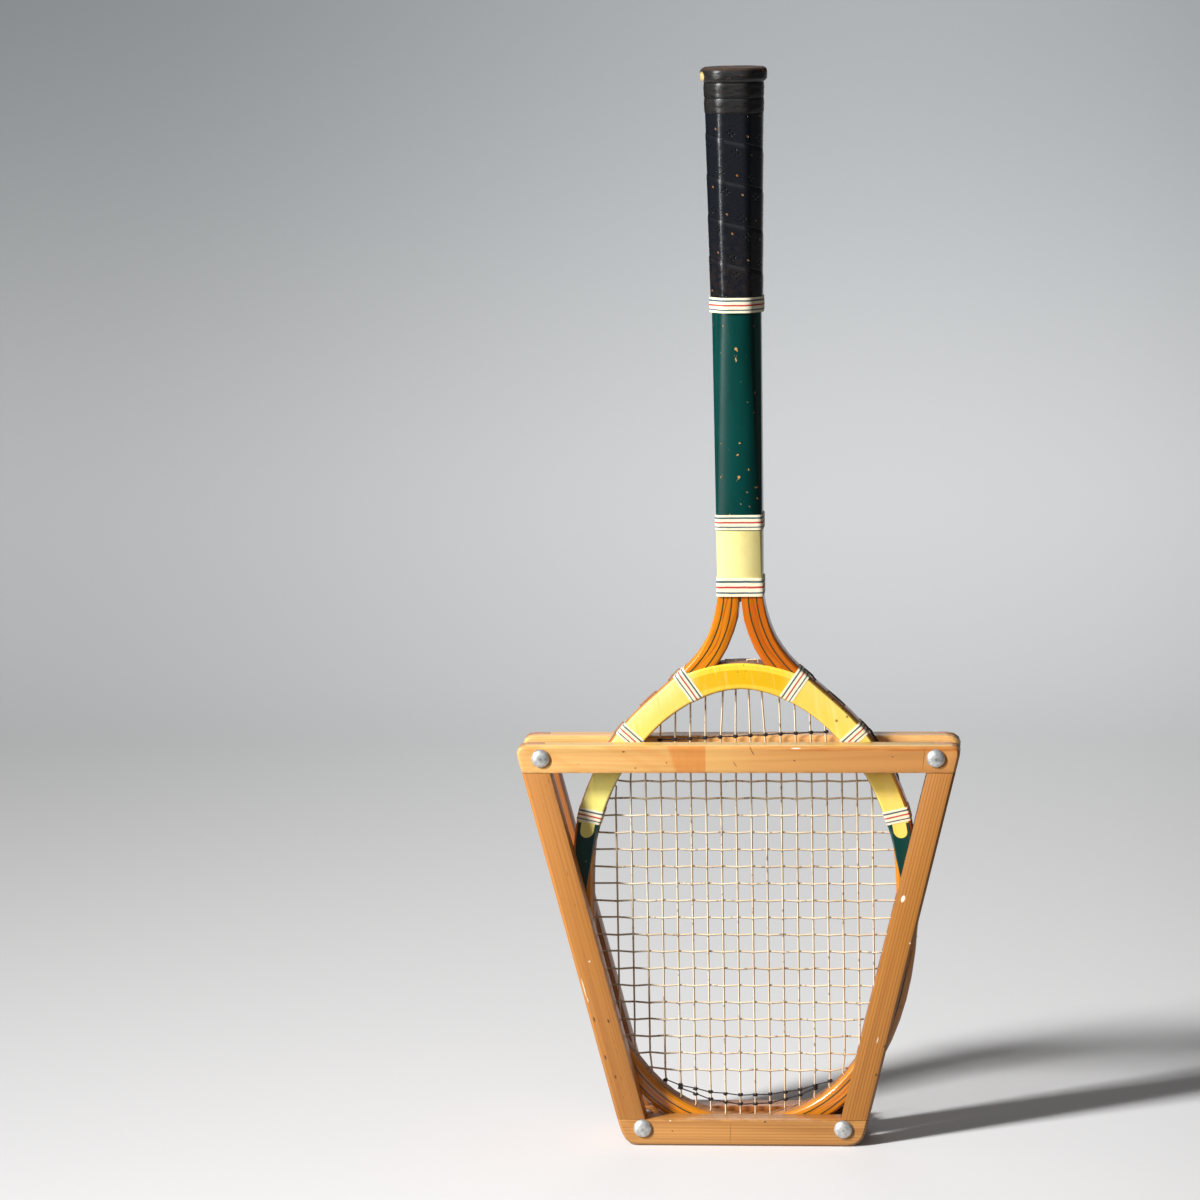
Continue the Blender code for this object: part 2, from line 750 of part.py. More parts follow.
def binding(racket, name, levels, side, cutters):
    """Tape wound round bow and bridge."""
    outer = outer_mark(levels[0], side)
    inner = [mark for mark in WALL_LINE.crossing(1, levels[1]) if WALL_LINE.at(mark).x * side > 0][0]
    shapes = {}
    for build in (GAP, GAP + TAPE):
        near = wound_edge(WALL_LINE, inner, -1, build)
        outline = wound_edge(OUTER_LINE, outer, 1, build) + near[::-1]
        shapes[build] = plate(name, outline, BOW_THICK + 2 * build)
    piece = add_piece(name, shapes[GAP + TAPE], racket, ((0.8, 0.76, 0.66), 0.6), smooth=False)
    combine(piece, add_cutter(name + "_bore", shapes[GAP], racket))
    combine(piece, cutters["string_holes"])


def string_places():
    """X of each main and Z of each cross."""
    mains = [(k - (MAIN_COUNT - 1) / 2) * MAIN_PITCH for k in range(MAIN_COUNT)]
    crosses = [LOWEST_CROSS + k * CROSS_PITCH for k in range(CROSS_COUNT)]
    return mains, crosses


def spread(marks, least):
    """Push neighbouring holes apart along the wall until none is nearer than least."""
    order = sorted(marks, key=marks.get)
    for _ in range(300):
        for a, b in zip(order, order[1:]):
            short = least - (marks[b] - marks[a])
            if short > 0:
                marks[a] -= short / 2
                marks[b] += short / 2
    return marks


def hole_places():
    """Each string end's mouth on the inner wall and its exit on the outside."""
    mains, crosses = string_places()
    marks = {}
    for k, x in enumerate(mains):
        top = x * BRIDGE_PINCH if abs(x) < BRIDGE_HOLES else x
        marks["main", k, 0] = min(WALL_LINE.crossing(0, x), key=lambda mark: WALL_LINE.at(mark).y)
        marks["main", k, 1] = max(WALL_LINE.crossing(0, top), key=lambda mark: WALL_LINE.at(mark).y)
    for k, z in enumerate(crosses):
        left, right = sorted(WALL_LINE.crossing(1, z), key=lambda mark: WALL_LINE.at(mark).x)[:2]
        marks["cross", k, 0] = left
        marks["cross", k, 1] = right
    holes = {}
    for key, mark in spread(marks, HOLE_SPACE).items():
        mouth = WALL_LINE.at(mark)
        if key[0] == "main" and key[2] == 1 and abs(mouth.x) < BRIDGE_HOLES:
            out = Vector((mouth.x * BRIDGE_SLANT, BRIDGE_TOP))
            holes[key] = (mouth, out, None)
        else:
            where = OUTER_LINE.nearest(mouth)
            holes[key] = (mouth, OUTER_LINE.at(where), where)
    return holes


def row_of(key):
    return -HOLE_ROW if key[0] == "main" else HOLE_ROW


def string_hole_cutter(racket, holes):
    bars = []
    for key, (mouth, out, _) in holes.items():
        run = (out - mouth).normalized() * MM
        start, end = mouth - run, out + run
        bars.append(((start.x, row_of(key), start.y), (end.x, row_of(key), end.y)))
    return add_cutter("string_holes", cylinders("string_holes", bars, HOLE_RADIUS, 4), racket)


def binding_marks():
    return [outer_mark(levels[0], side) for levels in BINDINGS.values() for side in (-1, 1)]


def lift(mark, recessed):
    """How far a string's middle lies off the bow's outer face."""
    height = STRING_RADIUS + GAP
    if recessed:
        return height - GROOVE_DEPTH
    over = any(abs(mark - place) < BINDING_WIDTH / 2 + 2 * MM for place in binding_marks())
    return height + GAP + TAPE if over else height


def outside_loop(first, second, y):
    """The string's way along the outside from one hole to the next."""
    (_, start, a), (_, end, b) = first, second
    if a is None or b is None:
        level = BRIDGE_TOP + STRING_RADIUS + GAP
        return [(start.x, y, level), (end.x, y, level)]
    recessed = max(start.y, end.y) < GROOVE_TOP
    count = max(2, math.ceil(abs(b - a) / LOOP_STEP))
    marks = [a + (b - a) * k / count for k in range(count + 1)]
    for place in binding_marks():
        for reach in (1.9 * MM, 3.5 * MM):
            steps = (place - BINDING_WIDTH / 2 - reach, place + BINDING_WIDTH / 2 + reach)
            marks += [mark for mark in steps if min(a, b) < mark < max(a, b)]
    points = []
    for mark in sorted(marks, reverse=b < a):
        place = OUTER_LINE.at(mark) + OUTER_LINE.outward(mark) * lift(mark, recessed)
        points.append((place.x, y, place.y))
    return points


def wall_room(x, z):
    """How far a crossing of two strings lies from the wall, along the nearer string."""
    across = [abs(WALL_LINE.at(mark).x - x) for mark in WALL_LINE.crossing(1, z)]
    along = [abs(WALL_LINE.at(mark).y - z) for mark in WALL_LINE.crossing(0, x)]
    inside = min(WALL_LINE.at(m).x for m in WALL_LINE.crossing(1, z)) < x
    inside = inside and x < max(WALL_LINE.at(m).x for m in WALL_LINE.crossing(1, z))
    return min(across + along) if inside else -1.0


def woven(kind, k, room):
    """Points of one run of string, from its lower or left end to the other.

    The mains stand straight, and the crosses go before and behind them in turn. Next to the
    wall, where their holes lie in two rows, a main passes in front and a cross behind.
    """
    mains, crosses = string_places()
    points = []
    for n in range(CROSS_COUNT if kind == "main" else MAIN_COUNT):
        i, j = (k, n) if kind == "main" else (n, k)
        if room[i, j] < NEAR_WALL:
            continue
        if room[i, j] < 2 * NEAR_WALL:
            y = -WEAVE / 2 if kind == "main" else WEAVE / 2
        elif kind == "main":
            y = 0.0
        else:
            y = WEAVE if (i + j) % 2 else -WEAVE
        points.append((mains[i], y, crosses[j]))
    if kind == "main":
        points = [
            point for n, point in enumerate(points)
            if n in (0, len(points) - 1) or not point[1] == points[n - 1][1] == points[n + 1][1]
        ]
    return points


def lead_point(hole, y):
    """Where a string leaves its hole's line, a little inside the opening."""
    mouth, out, _ = hole
    place = mouth + (mouth - out).normalized() * HOLE_LEAD
    return place.x, y, place.y


def string_path(kind, count, holes, room):
    """One unbroken string: run, loop outside, run back, and so on."""
    y = row_of((kind,))
    path = []
    for k in range(count):
        way = k % 2 if kind == "main" else (k + 1) % 2
        ends = (1, 0) if way == 0 else (0, 1)
        enter, leave = holes[kind, k, ends[0]], holes[kind, k, ends[1]]
        run = woven(kind, k, room)
        if ends[0] == 1:
            run.reverse()
        if k == 0:
            path.append((enter[1].x, y, enter[1].y))
        path += [lead_point(enter, y), *run, lead_point(leave, y)]
        if k < count - 1:
            path += outside_loop(leave, holes[kind, k + 1, ends[1]], y)
        else:
            path.append((leave[1].x, y, leave[1].y))
    return path


def stringing(racket, holes):
    mains, crosses = string_places()
    room = {(i, j): wall_room(x, z) for i, x in enumerate(mains) for j, z in enumerate(crosses)}
    gut = ((0.62, 0.48, 0.28), 0.4)
    paths = {}
    for kind, count in (("main", MAIN_COUNT), ("cross", CROSS_COUNT)):
        name = kind + "_string"
        paths[kind] = string_path(kind, count, holes, room)
        add_piece(name, tube(name, paths[kind], STRING_RADIUS), racket, gut)
    report_least_gap(paths)
    return paths["main"]


def segment_gap(a, b, c, d):
    """Least distance between two straight pieces of string."""
    u, v, w = b - a, d - c, a - c
    uu, uv, vv, uw, vw = u.dot(u), u.dot(v), v.dot(v), u.dot(w), v.dot(w)
    base = uu * vv - uv * uv
    s = min(max((uv * vw - vv * uw) / base, 0), 1) if base > 1e-18 else 0.0
    t = min(max((uv * s + vw) / vv, 0), 1)
    s = min(max((uv * t - uw) / uu, 0), 1)
    return (w + u * s - v * t).length


def report_least_gap(paths):
    """Measure and print the least gap of the strings to themselves and to each other."""
    pieces = []
    for kind, path in paths.items():
        points = [Vector(point) for point in path]
        pieces += [(kind, k, a, b) for k, (a, b) in enumerate(zip(points, points[1:]))]
    cells = {}
    size = 25 * MM
    for piece in pieces:
        low = [min(p, q) for p, q in zip(piece[2], piece[3])]
        high = [max(p, q) for p, q in zip(piece[2], piece[3])]
        for i in range(int(low[0] // size) - 1, int(high[0] // size) + 2):
            for j in range(int(low[2] // size) - 1, int(high[2] // size) + 2):
                cells.setdefault((i, j), []).append(piece)
    least = {}
    for group in cells.values():
        for n, one in enumerate(group):
            for other in group[n + 1:]:
                if one[0] == other[0] and abs(one[1] - other[1]) < 3:
                    continue
                pair = "itself" if one[0] == other[0] else "the other string"
                gap = segment_gap(one[2], one[3], other[2], other[3]) - 2 * STRING_RADIUS
                if pair not in least or gap < least[pair][0]:
                    least[pair] = (gap, one[2])
    for pair, (gap, place) in least.items():
        print("least gap of a string to", pair, round(gap / MM, 2), "mm, at", [round(c / MM) for c in place])


def main_depth(path, x, z):
    """Y of the main string that stands at X, at a height."""
    best = None
    for a, b in zip(path, path[1:]):
        if (a[2] - z) * (b[2] - z) <= 0 and a[2] != b[2]:
            share = (z - a[2]) / (b[2] - a[2])
            place = a[0] + (b[0] - a[0]) * share
            if best is None or abs(place - x) < best[0]:
                best = (abs(place - x), place, a[1] + (b[1] - a[1]) * share)
    return best[1], best[2]


def yarn(racket, name, height, reach, main_path):
    """Thin yarn laced before and behind the mains within reach, at a height given for each X."""
    stand = STRING_RADIUS + YARN_RADIUS + GAP
    points = []
    for k, x in enumerate(string_places()[0]):
        wall = min(abs(WALL_LINE.at(mark).x) for mark in WALL_LINE.crossing(1, height(x)))
        if abs(x) > min(reach, wall - YARN_ROOM):
            continue
        place, depth = main_depth(main_path, x, height(x))
        side = 1 if k % 2 else -1
        points.append((place, depth + side * stand, height(x)))
    tail = 2 * MM
    points.insert(0, (points[0][0] - tail, points[0][1], points[0][2]))
    points.append((points[-1][0] + tail, points[-1][1], points[-1][2]))
    add_piece(name, tube(name, points, YARN_RADIUS), racket, ((0.10, 0.10, 0.12), 0.7))


def trim_yarns(racket, main_path):
    level = string_places()[1][-1] + THROAT_YARN_RISE
    yarn(racket, "throat_yarn", lambda x: level + THROAT_YARN_TILT * x, OPEN_HALF, main_path)
    for word, (start, rise, reach) in TIP_YARNS.items():
        def height(x, start=start, rise=rise, reach=reach):
            return WIDEST - OPEN_DROP + start + rise * (x / reach) ** 2
        yarn(racket, "tip_yarn_" + word, height, reach, main_path)


def side_half(height):
    """Half the press's width at a height."""
    return (PRESS_BOTTOM + (PRESS_TOP - PRESS_BOTTOM) * height / PRESS_HEIGHT) / 2


def side_across():
    """Width of a slanted rail measured level."""
    slope = (PRESS_TOP - PRESS_BOTTOM) / 2 / PRESS_HEIGHT
    return SIDE_FACE * math.hypot(1, slope)


def rounded(corner, before, after, reaches, steps=4):
    """A rounded corner, from its reach towards before to its reach towards after."""
    corner = Vector(corner)
    start = corner + (Vector(before) - corner).normalized() * reaches[0]
    end = corner + (Vector(after) - corner).normalized() * reaches[1]
    points = []
    for k in range(steps + 1):
        t = k / steps
        points.append(tuple(start * (1 - t) ** 2 + corner * 2 * t * (1 - t) + end * t * t))
    return points


def frame_corner(kind, name, from_side):
    """Rounded outer corner, walked from the slanted side to the level rail or back."""
    side = -1 if "left" in name else 1
    level, other = (PRESS_HEIGHT, 0.0) if "top" in name else (0.0, PRESS_HEIGHT)
    corner = (side * side_half(level), level)
    up = (side * side_half(other), other)
    points = rounded(corner, up, (0.0, level), CORNERS[kind][name])
    return points if from_side else points[::-1]


def rail_outline(kind, rail):
    if rail == "top":
        low = PRESS_HEIGHT - RAIL_FACE
        ends = [(-side_half(low), low), (side_half(low), low)]
        right, left = frame_corner(kind, "top_right", True), frame_corner(kind, "top_left", False)
        return ends + right + left
    if rail == "bottom":
        high = RAIL_FACE
        ends = [(side_half(high), high), (-side_half(high), high)]
        left, right = frame_corner(kind, "bottom_left", True), frame_corner(kind, "bottom_right", False)
        return ends + left + right
    side = -1 if rail == "left" else 1
    across = side_across()
    ends = [(side * (side_half(z) - across), z) for z in (PRESS_HEIGHT, 0.0)]
    low = frame_corner(kind, "bottom_" + rail, False)
    high = frame_corner(kind, "top_" + rail, True)
    return ends + low + high


def inset(outline, distance):
    """The outline with all its sides but the first moved inwards."""
    corners = [Vector(place) for place in outline]
    runs = [(b - a).normalized() for a, b in zip(corners, corners[1:] + corners[:1])]
    area = sum(a.cross(b) for a, b in zip(corners, corners[1:] + corners[:1]))
    shifts = [0.0] + [math.copysign(distance, area)] * (len(corners) - 1)
    moved = []
    for k, corner in enumerate(corners):
        before, after = runs[k - 1], runs[k]
        turn = before.cross(after)
        if abs(turn) < 1e-6:
            moved.append(corner + Vector((-after.y, after.x)) * shifts[k])
        else:
            moved.append(corner + (after * shifts[k - 1] - before * shifts[k]) / turn)
    return moved


def rail_mesh(name, outline):
    """A rail whose outer edges are taken off; the first side of its outline stays sharp."""
    half = RAIL_THICK / 2
    face = inset(outline, RAIL_EDGE)
    layers = ((-half, face), (RAIL_EDGE - half, outline), (half - RAIL_EDGE, outline), (half, face))
    return loft(name, [[(x, y, z) for x, z in line] for y, line in layers])


def lap_outline(rail):
    """What a crossing rail leaves free for this rail, its clearance included."""
    beyond = 30 * MM
    if rail in LEVEL_RAILS:
        wide = PRESS_TOP
        near, far = (PRESS_HEIGHT - RAIL_FACE - GAP, PRESS_HEIGHT + beyond) if rail == "top" else (
            RAIL_FACE + GAP, -beyond)
        return [(-wide, near), (wide, near), (wide, far), (-wide, far)]
    side = -1 if rail == "left" else 1
    across = side_across() + GAP
    low, high = -beyond, PRESS_HEIGHT + beyond
    return [
        (side * (side_half(low) - across), low), (side * (side_half(high) - across), high),
        (side * (side_half(high) + beyond), high), (side * (side_half(low) + beyond), low),
    ]


def press_frame(parent, kind, cutters):
    """Four rails with half laps at the corners."""
    look = ((0.60, 0.34, 0.15), 0.4)
    # a level rail loses the half away from the viewer, a slanted one the half next to them
    depth = (RAIL_THICK - GAP) / 2
    for rail in ("top", "bottom", "left", "right"):
        name = kind + "_rail_" + rail
        piece = add_piece(name, rail_mesh(name, rail_outline(kind, rail)), parent, look)
        for corner in CORNERS[kind]:
            if rail not in corner.split("_"):
                continue
            other = corner.replace(rail, "").strip("_")
            away = 1 if rail in LEVEL_RAILS else -1
            pocket = plate(name + "_lap", lap_outline(other), RAIL_THICK)
            place = (0, away * depth, 0)
            combine(piece, add_cutter(name + "_lap_" + corner, pocket, parent, place))
        combine(piece, cutters["bolt_holes"])
        if kind == "front":
            combine(piece, cutters["neck_pockets"])


def bolt_places():
    return {
        "top_left": (-TOP_BOLT[0], TOP_BOLT[1]), "top_right": TOP_BOLT,
        "bottom_left": (-BOTTOM_BOLT[0], BOTTOM_BOLT[1]), "bottom_right": BOTTOM_BOLT,
    }


def bolt_cutters(whole):
    """Round holes through both frames, and square pockets for the bolts' necks."""
    clear = (BOLT_RADIUS + GAP) / math.cos(math.pi / STEPS)
    reach = BACK_FACE + RAIL_THICK
    bars = [((x, -reach, z), (x, reach, z)) for x, z in bolt_places().values()]
    holes = add_cutter("bolt_holes", cylinders("bolt_holes", bars, clear, STEPS), whole)
    shape = bmesh.new()
    side = 2 * (BOLT_RADIUS + GAP)
    depth = NECK_LENGTH + GAP
    for x, z in bolt_places().values():
        place = Matrix.Translation((x, FRONT_FACE + depth / 2 - RAIL_EDGE, z))
        size = Matrix.Diagonal((side, depth + 2 * RAIL_EDGE, side, 1))
        bmesh.ops.create_cube(shape, size=1, matrix=place @ size)
    mesh = bpy.data.meshes.new("neck_pockets")
    shape.to_mesh(mesh)
    shape.free()
    return {"bolt_holes": holes, "neck_pockets": add_cutter("neck_pockets", mesh, whole)}


def carriage_bolt(parent, name, place):
    """Domed head and square neck at the front, shank through both frames."""
    radius, rise, head = BOLT_RADIUS, BOLT_HEAD_HEIGHT, BOLT_HEAD_RADIUS
    dome = (head * head + rise * rise) / (2 * rise)
    profile = []
    for k in range(4):
        r = head * k / 4
        profile.append((r, rise - dome + math.sqrt(dome * dome - r * r)))
    profile += [(head, 0.1 * rise), (head, 0.0), (radius, 0.0)]
    profile += [(radius, -BOLT_LENGTH + 0.3 * radius), (0.75 * radius, -BOLT_LENGTH), (0.0, -BOLT_LENGTH)]
    face = (place[0], BOLT_SEAT, place[1])
    bolt = add_piece(name, turned(name, profile), parent, ((0.6, 0.6, 0.6), 0.35, 1.0), face,
                     (math.pi / 2, 0, 0))
    shape = bmesh.new()
    size = Matrix.Diagonal((2 * radius, 2 * radius, NECK_LENGTH, 1))
    where = Matrix.Translation((0, 0, -NECK_LENGTH / 2))
    bmesh.ops.create_cube(shape, size=1, matrix=where @ size)
    mesh = bpy.data.meshes.new(name + "_neck")
    shape.to_mesh(mesh)
    shape.free()
    neck = add_cutter(name + "_neck", mesh, parent, face, (math.pi / 2, 0, 0))
    combine(bolt, neck, "UNION")


def washer(parent, name, place):
    bore = BOLT_RADIUS + GAP
    profile = [(bore, WASHER_WALL), (WASHER_RADIUS, WASHER_WALL), (WASHER_RADIUS, 0.0), (bore, 0.0)]
    where = (place[0], BACK_FACE + GAP, place[1])
    add_piece(name, turned(name, profile, closed=True), parent, ((0.55, 0.55, 0.55), 0.4, 1.0), where,
              (-math.pi / 2, 0, 0))


def wing_outline(side):
    """One wing, from inside the hub's wall out to its round tip."""
    inner = NUT_TOP_RADIUS - 0.8 * MM
    points = [
        (inner, 1.2 * MM),
        (NUT_RADIUS + 1.0 * MM, 1.5 * MM),
        (WING_SPAN - 2.5 * MM, 0.45 * WING_RISE),
        (WING_SPAN, 0.7 * WING_RISE),
        (WING_SPAN - 0.5 * MM, 0.92 * WING_RISE),
        (WING_SPAN - 2.5 * MM, WING_RISE),
        (WING_SPAN - 5.0 * MM, 0.92 * WING_RISE),
        (NUT_TOP_RADIUS + 1.5 * MM, NUT_HEIGHT - 0.8 * MM),
        (inner, NUT_HEIGHT - 1.2 * MM),
    ]
    return [(side * x, z) for x, z in points]


def wing_nut(parent, name, place, tilt):
    """Hub on the bolt with two raised wings; the bolt's axis is the object's own Z."""
    bore = BOLT_RADIUS + GAP
    profile = [
        (bore, NUT_HEIGHT), (NUT_TOP_RADIUS, NUT_HEIGHT), (NUT_RADIUS, 0.35 * NUT_HEIGHT),
        (NUT_RADIUS, 0.0), (bore, 0.0),
    ]
    where = (place[0], BACK_FACE + GAP + WASHER_WALL + GAP, place[1])
    # local Z points along +Y, and the wings start at a tilt that a hand would leave
    turn = (Matrix.Rotation(-math.pi / 2, 4, "X") @ Matrix.Rotation(tilt, 4, "Z")).to_euler()
    look = ((0.6, 0.6, 0.58), 0.4, 1.0)
    nut = add_piece(name, turned(name, profile, closed=True), parent, look, where, turn)
    for side, word in ((-1, "a"), (1, "b")):
        mesh = plate(name + "_wing_" + word, wing_outline(side), WING_WALL)
        combine(nut, add_cutter(name + "_wing_" + word, mesh, parent, where, turn), "UNION")


def build_racket(whole):
    racket = anchor("racket", (RACKET_SHIFT, 0, TIP_LIFT), whole)
    holes = hole_places()
    cutters = {
        "string_holes": string_hole_cutter(racket, holes),
        "groove": string_groove(racket),
    }
    bow_plies(racket, cutters)
    throat_bridge(racket, cutters)
    throat_wedge(racket)
    handle_cheek(racket, "handle_cheek_front", -1)
    handle_cheek(racket, "handle_cheek_back", 1)
    handle_dressing(racket)
    butt_cap(racket)
    for word, levels in BINDINGS.items():
        for side, hand in ((-1, "left"), (1, "right")):
            binding(racket, "%s_binding_%s" % (word, hand), levels, side, cutters)
    main_path = stringing(racket, holes)
    trim_yarns(racket, main_path)


def build_press(whole):
    cutters = bolt_cutters(whole)
    front = anchor("front_frame", (0, FRONT_FACE + RAIL_THICK / 2, 0), whole)
    back = anchor("back_frame", (0, BACK_FACE - RAIL_THICK / 2, 0), whole)
    press_frame(front, "front", cutters)
    press_frame(back, "back", cutters)
    tilts = {"top_left": 25, "top_right": -15, "bottom_left": 35, "bottom_right": 20}
    for corner, place in bolt_places().items():
        carriage_bolt(whole, "bolt_" + corner, place)
        washer(whole, "washer_" + corner, place)
        wing_nut(whole, "wing_nut_" + corner, place, math.radians(tilts[corner]))


clear_scene()
MODEL = new_collection("wooden_tennis_racket")
CUTTERS = new_collection("cutters")
OUTER = bow_outline()
OUTER_LINE = Line(OUTER)
WALL = opening_outline(4 * HEAD_STEPS)
WALL_LINE = Line(WALL + WALL[:1])
WHOLE = anchor("racket_in_press", (0, -MIDDLE, 0))
build_racket(WHOLE)
build_press(WHOLE)
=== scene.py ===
"""Finishes and fine shapes of a wooden tennis racket standing in its screw press.

The file has the layout of a Blender 4.5 add-on and is run as a script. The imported
model is the frame: X runs to the right, Y away from the viewer and Z up, in metres.
"""
import math

import bpy
from bpy.props import FloatProperty, FloatVectorProperty, PointerProperty
from bpy.types import Operator, Panel, PropertyGroup
from mathutils import Matrix, Vector, noise


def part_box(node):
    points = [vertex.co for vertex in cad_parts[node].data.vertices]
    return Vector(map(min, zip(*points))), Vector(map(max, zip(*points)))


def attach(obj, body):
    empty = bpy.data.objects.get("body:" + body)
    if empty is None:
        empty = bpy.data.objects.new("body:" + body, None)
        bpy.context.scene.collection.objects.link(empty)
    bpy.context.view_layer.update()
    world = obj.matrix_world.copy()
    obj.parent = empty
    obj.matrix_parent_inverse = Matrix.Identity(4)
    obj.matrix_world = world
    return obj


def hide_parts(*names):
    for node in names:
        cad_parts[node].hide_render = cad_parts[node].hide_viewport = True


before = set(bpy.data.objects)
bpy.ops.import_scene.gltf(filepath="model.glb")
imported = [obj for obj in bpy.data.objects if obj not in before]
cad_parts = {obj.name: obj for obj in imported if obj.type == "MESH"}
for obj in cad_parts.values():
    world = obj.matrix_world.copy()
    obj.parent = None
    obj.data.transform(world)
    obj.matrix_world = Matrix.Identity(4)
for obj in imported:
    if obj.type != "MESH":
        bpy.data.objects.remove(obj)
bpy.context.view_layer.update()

bl_info = {
    "name": "Wooden tennis racket in its press",
    "version": (1, 0, 0),
    "blender": (4, 5, 0),
    "location": "3D View > Sidebar > Racket",
    "description": "Finishes and fine shapes of a strung wooden racket and its four-bolt press",
    "category": "Object",
}

MM = 0.001

# Where the racket stands: its long axis, its middle plane and its tip
BOW_LOW, BOW_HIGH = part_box("bow_outer_ply")
AXIS = Vector(((BOW_LOW.x + BOW_HIGH.x) / 2, (BOW_LOW.y + BOW_HIGH.y) / 2, BOW_LOW.z))
FACE = (BOW_HIGH.y - BOW_LOW.y) / 2
RING_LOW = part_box("shaft_ring_lower")[0].z
PANEL_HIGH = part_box("shaft_ring_upper")[0].z

# Bow and opening, measured from the racket's tip and long axis
OPEN_HALF = 97.0 * MM
OPEN_DROP = 143.7 * MM
OPEN_STRAIGHT = 12.7 * MM
BOW_WIDTH = 13.5 * MM
PLY_EDGES = (4.05 * MM, 9.15 * MM)      # depth of the two dark veneers under the outer face
BRIDGE_LOW = 293.2 * MM                 # top of the opening
CRESCENT_TOP = 309.75 * MM              # top of the bridge's facing on the axis
CRESCENT_FALL = 5.66                    # how fast it falls to the sides, per metre
TIP_POWER = 2.19
SHOULDER_POWER = 1.84
WIDEST = BOW_WIDTH + OPEN_DROP
HEAD_HALF = OPEN_HALF + BOW_WIDTH
SHAFT_HALF = 14.2 * MM
FLARE = (
    (22.5 * MM, 0.994), (46.5 * MM, 0.966), (61.5 * MM, 0.930), (83.2 * MM, 0.839),
    (99.3 * MM, 0.741), (113.5 * MM, 0.626), (124.2 * MM, 0.517), (135.0 * MM, 0.391),
    (145.5 * MM, 0.270), (155.8 * MM, 0.1634), (168.5 * MM, 0.077), (183.0 * MM, 0.0238),
    (195.5 * MM, 0.0),
)
THROAT_END = WIDEST + FLARE[-1][0]
MAIN_COUNT = 18
MAIN_PITCH = 9.64 * MM
# Fullness of the legs: height under the throat's end, and times the bow's width
FULLNESS = ((148.7 * MM, 1.0), (52.7 * MM, 1.06), (37.0 * MM, 1.08), (11.0 * MM, 1.08), (0.0, 1.0))
BOW_STEPS = 32
WALL_STEPS = 128
VENEER_HALF = 0.42 * MM                 # half the thickness that a veneer shows
# Height of the middle of each binding on the bow's outer face and on the opening's wall
BINDINGS = {
    "throat": (303.2 * MM, 286.3 * MM),
    "shoulder": (267.6 * MM, 256.6 * MM),
    "side": (212.8 * MM, 209.4 * MM),
}
BINDING_WIDTH = 8.9 * MM
# Shoulder facing: height, and the bare strips beside it towards the opening and the outer face
FACING_TAPER = (
    (150 * MM, 6.6 * MM, 6.6 * MM), (160 * MM, 4.9 * MM, 5.2 * MM), (168 * MM, 3.4 * MM, 3.8 * MM),
    (175 * MM, 2.2 * MM, 2.8 * MM), (185 * MM, 1.0 * MM, 1.8 * MM), (195 * MM, 0.5 * MM, 1.3 * MM),
    (207 * MM, 0.2 * MM, 1.1 * MM), (216 * MM, 0.2 * MM, 0.35 * MM),
)
FACING_WALL = 0.2 * MM
BOW_EDGE = 1.6 * MM                     # the bow's edges are broken at 45 degrees
YOKE_END = 204 * MM                     # below this height the opening's edges are broken too
# Dark specks of the facing: place in millimetres from axis and tip, radius and strength
FACING_SPECKS = (
    (60.2, 272.7, 0.9, 0.8), (66.9, 275.3, 0.8, 0.8), (14.4, 309.0, 0.7, 0.9), (1.6, 308.6, 0.45, 0.7),
    (-2.0, 304.2, 0.4, 0.7), (3.0, 304.8, 0.4, 0.6), (-52.0, 262.0, 0.4, 0.5),
)
TONGUE = (7.7 * MM, 4.4 * MM, 201.4 * MM)   # depth of its middle, half its width, height of its round end

# Carriage bolts
SHANK_RADIUS = 3.15 * MM
THREAD_PITCH = 1.27 * MM
HEAD_RADIUS = 5.9 * MM
HEAD_RISE = 3.0 * MM

# Camera: turn, rise and roll in degrees, the point it looks at, its distance in metres,
# and the length of its lens in picture elements of a picture 1200 wide
CAMERA_TURNS = (5.52, 8.89, -1.04)
CAMERA_AIM = (-88.0 * MM, 349.7 * MM)
CAMERA_DISTANCE = 3.4
LENS = 5350
PICTURE_WIDTH = 1200
SENSOR = 36.0
SWEEP_TOP = 0.66                        # height at which the paper behind the racket ends

# Press laths, seen from the front
LEAN = 0.2527                           # run of a slanted lath for each unit of height
LEVEL_HALF = 8.6 * MM                   # half the face of a level lath
SIDE_HALF = 8.7 * MM
PRESS_FOOT = 76.15 * MM                 # half the press's width on the floor
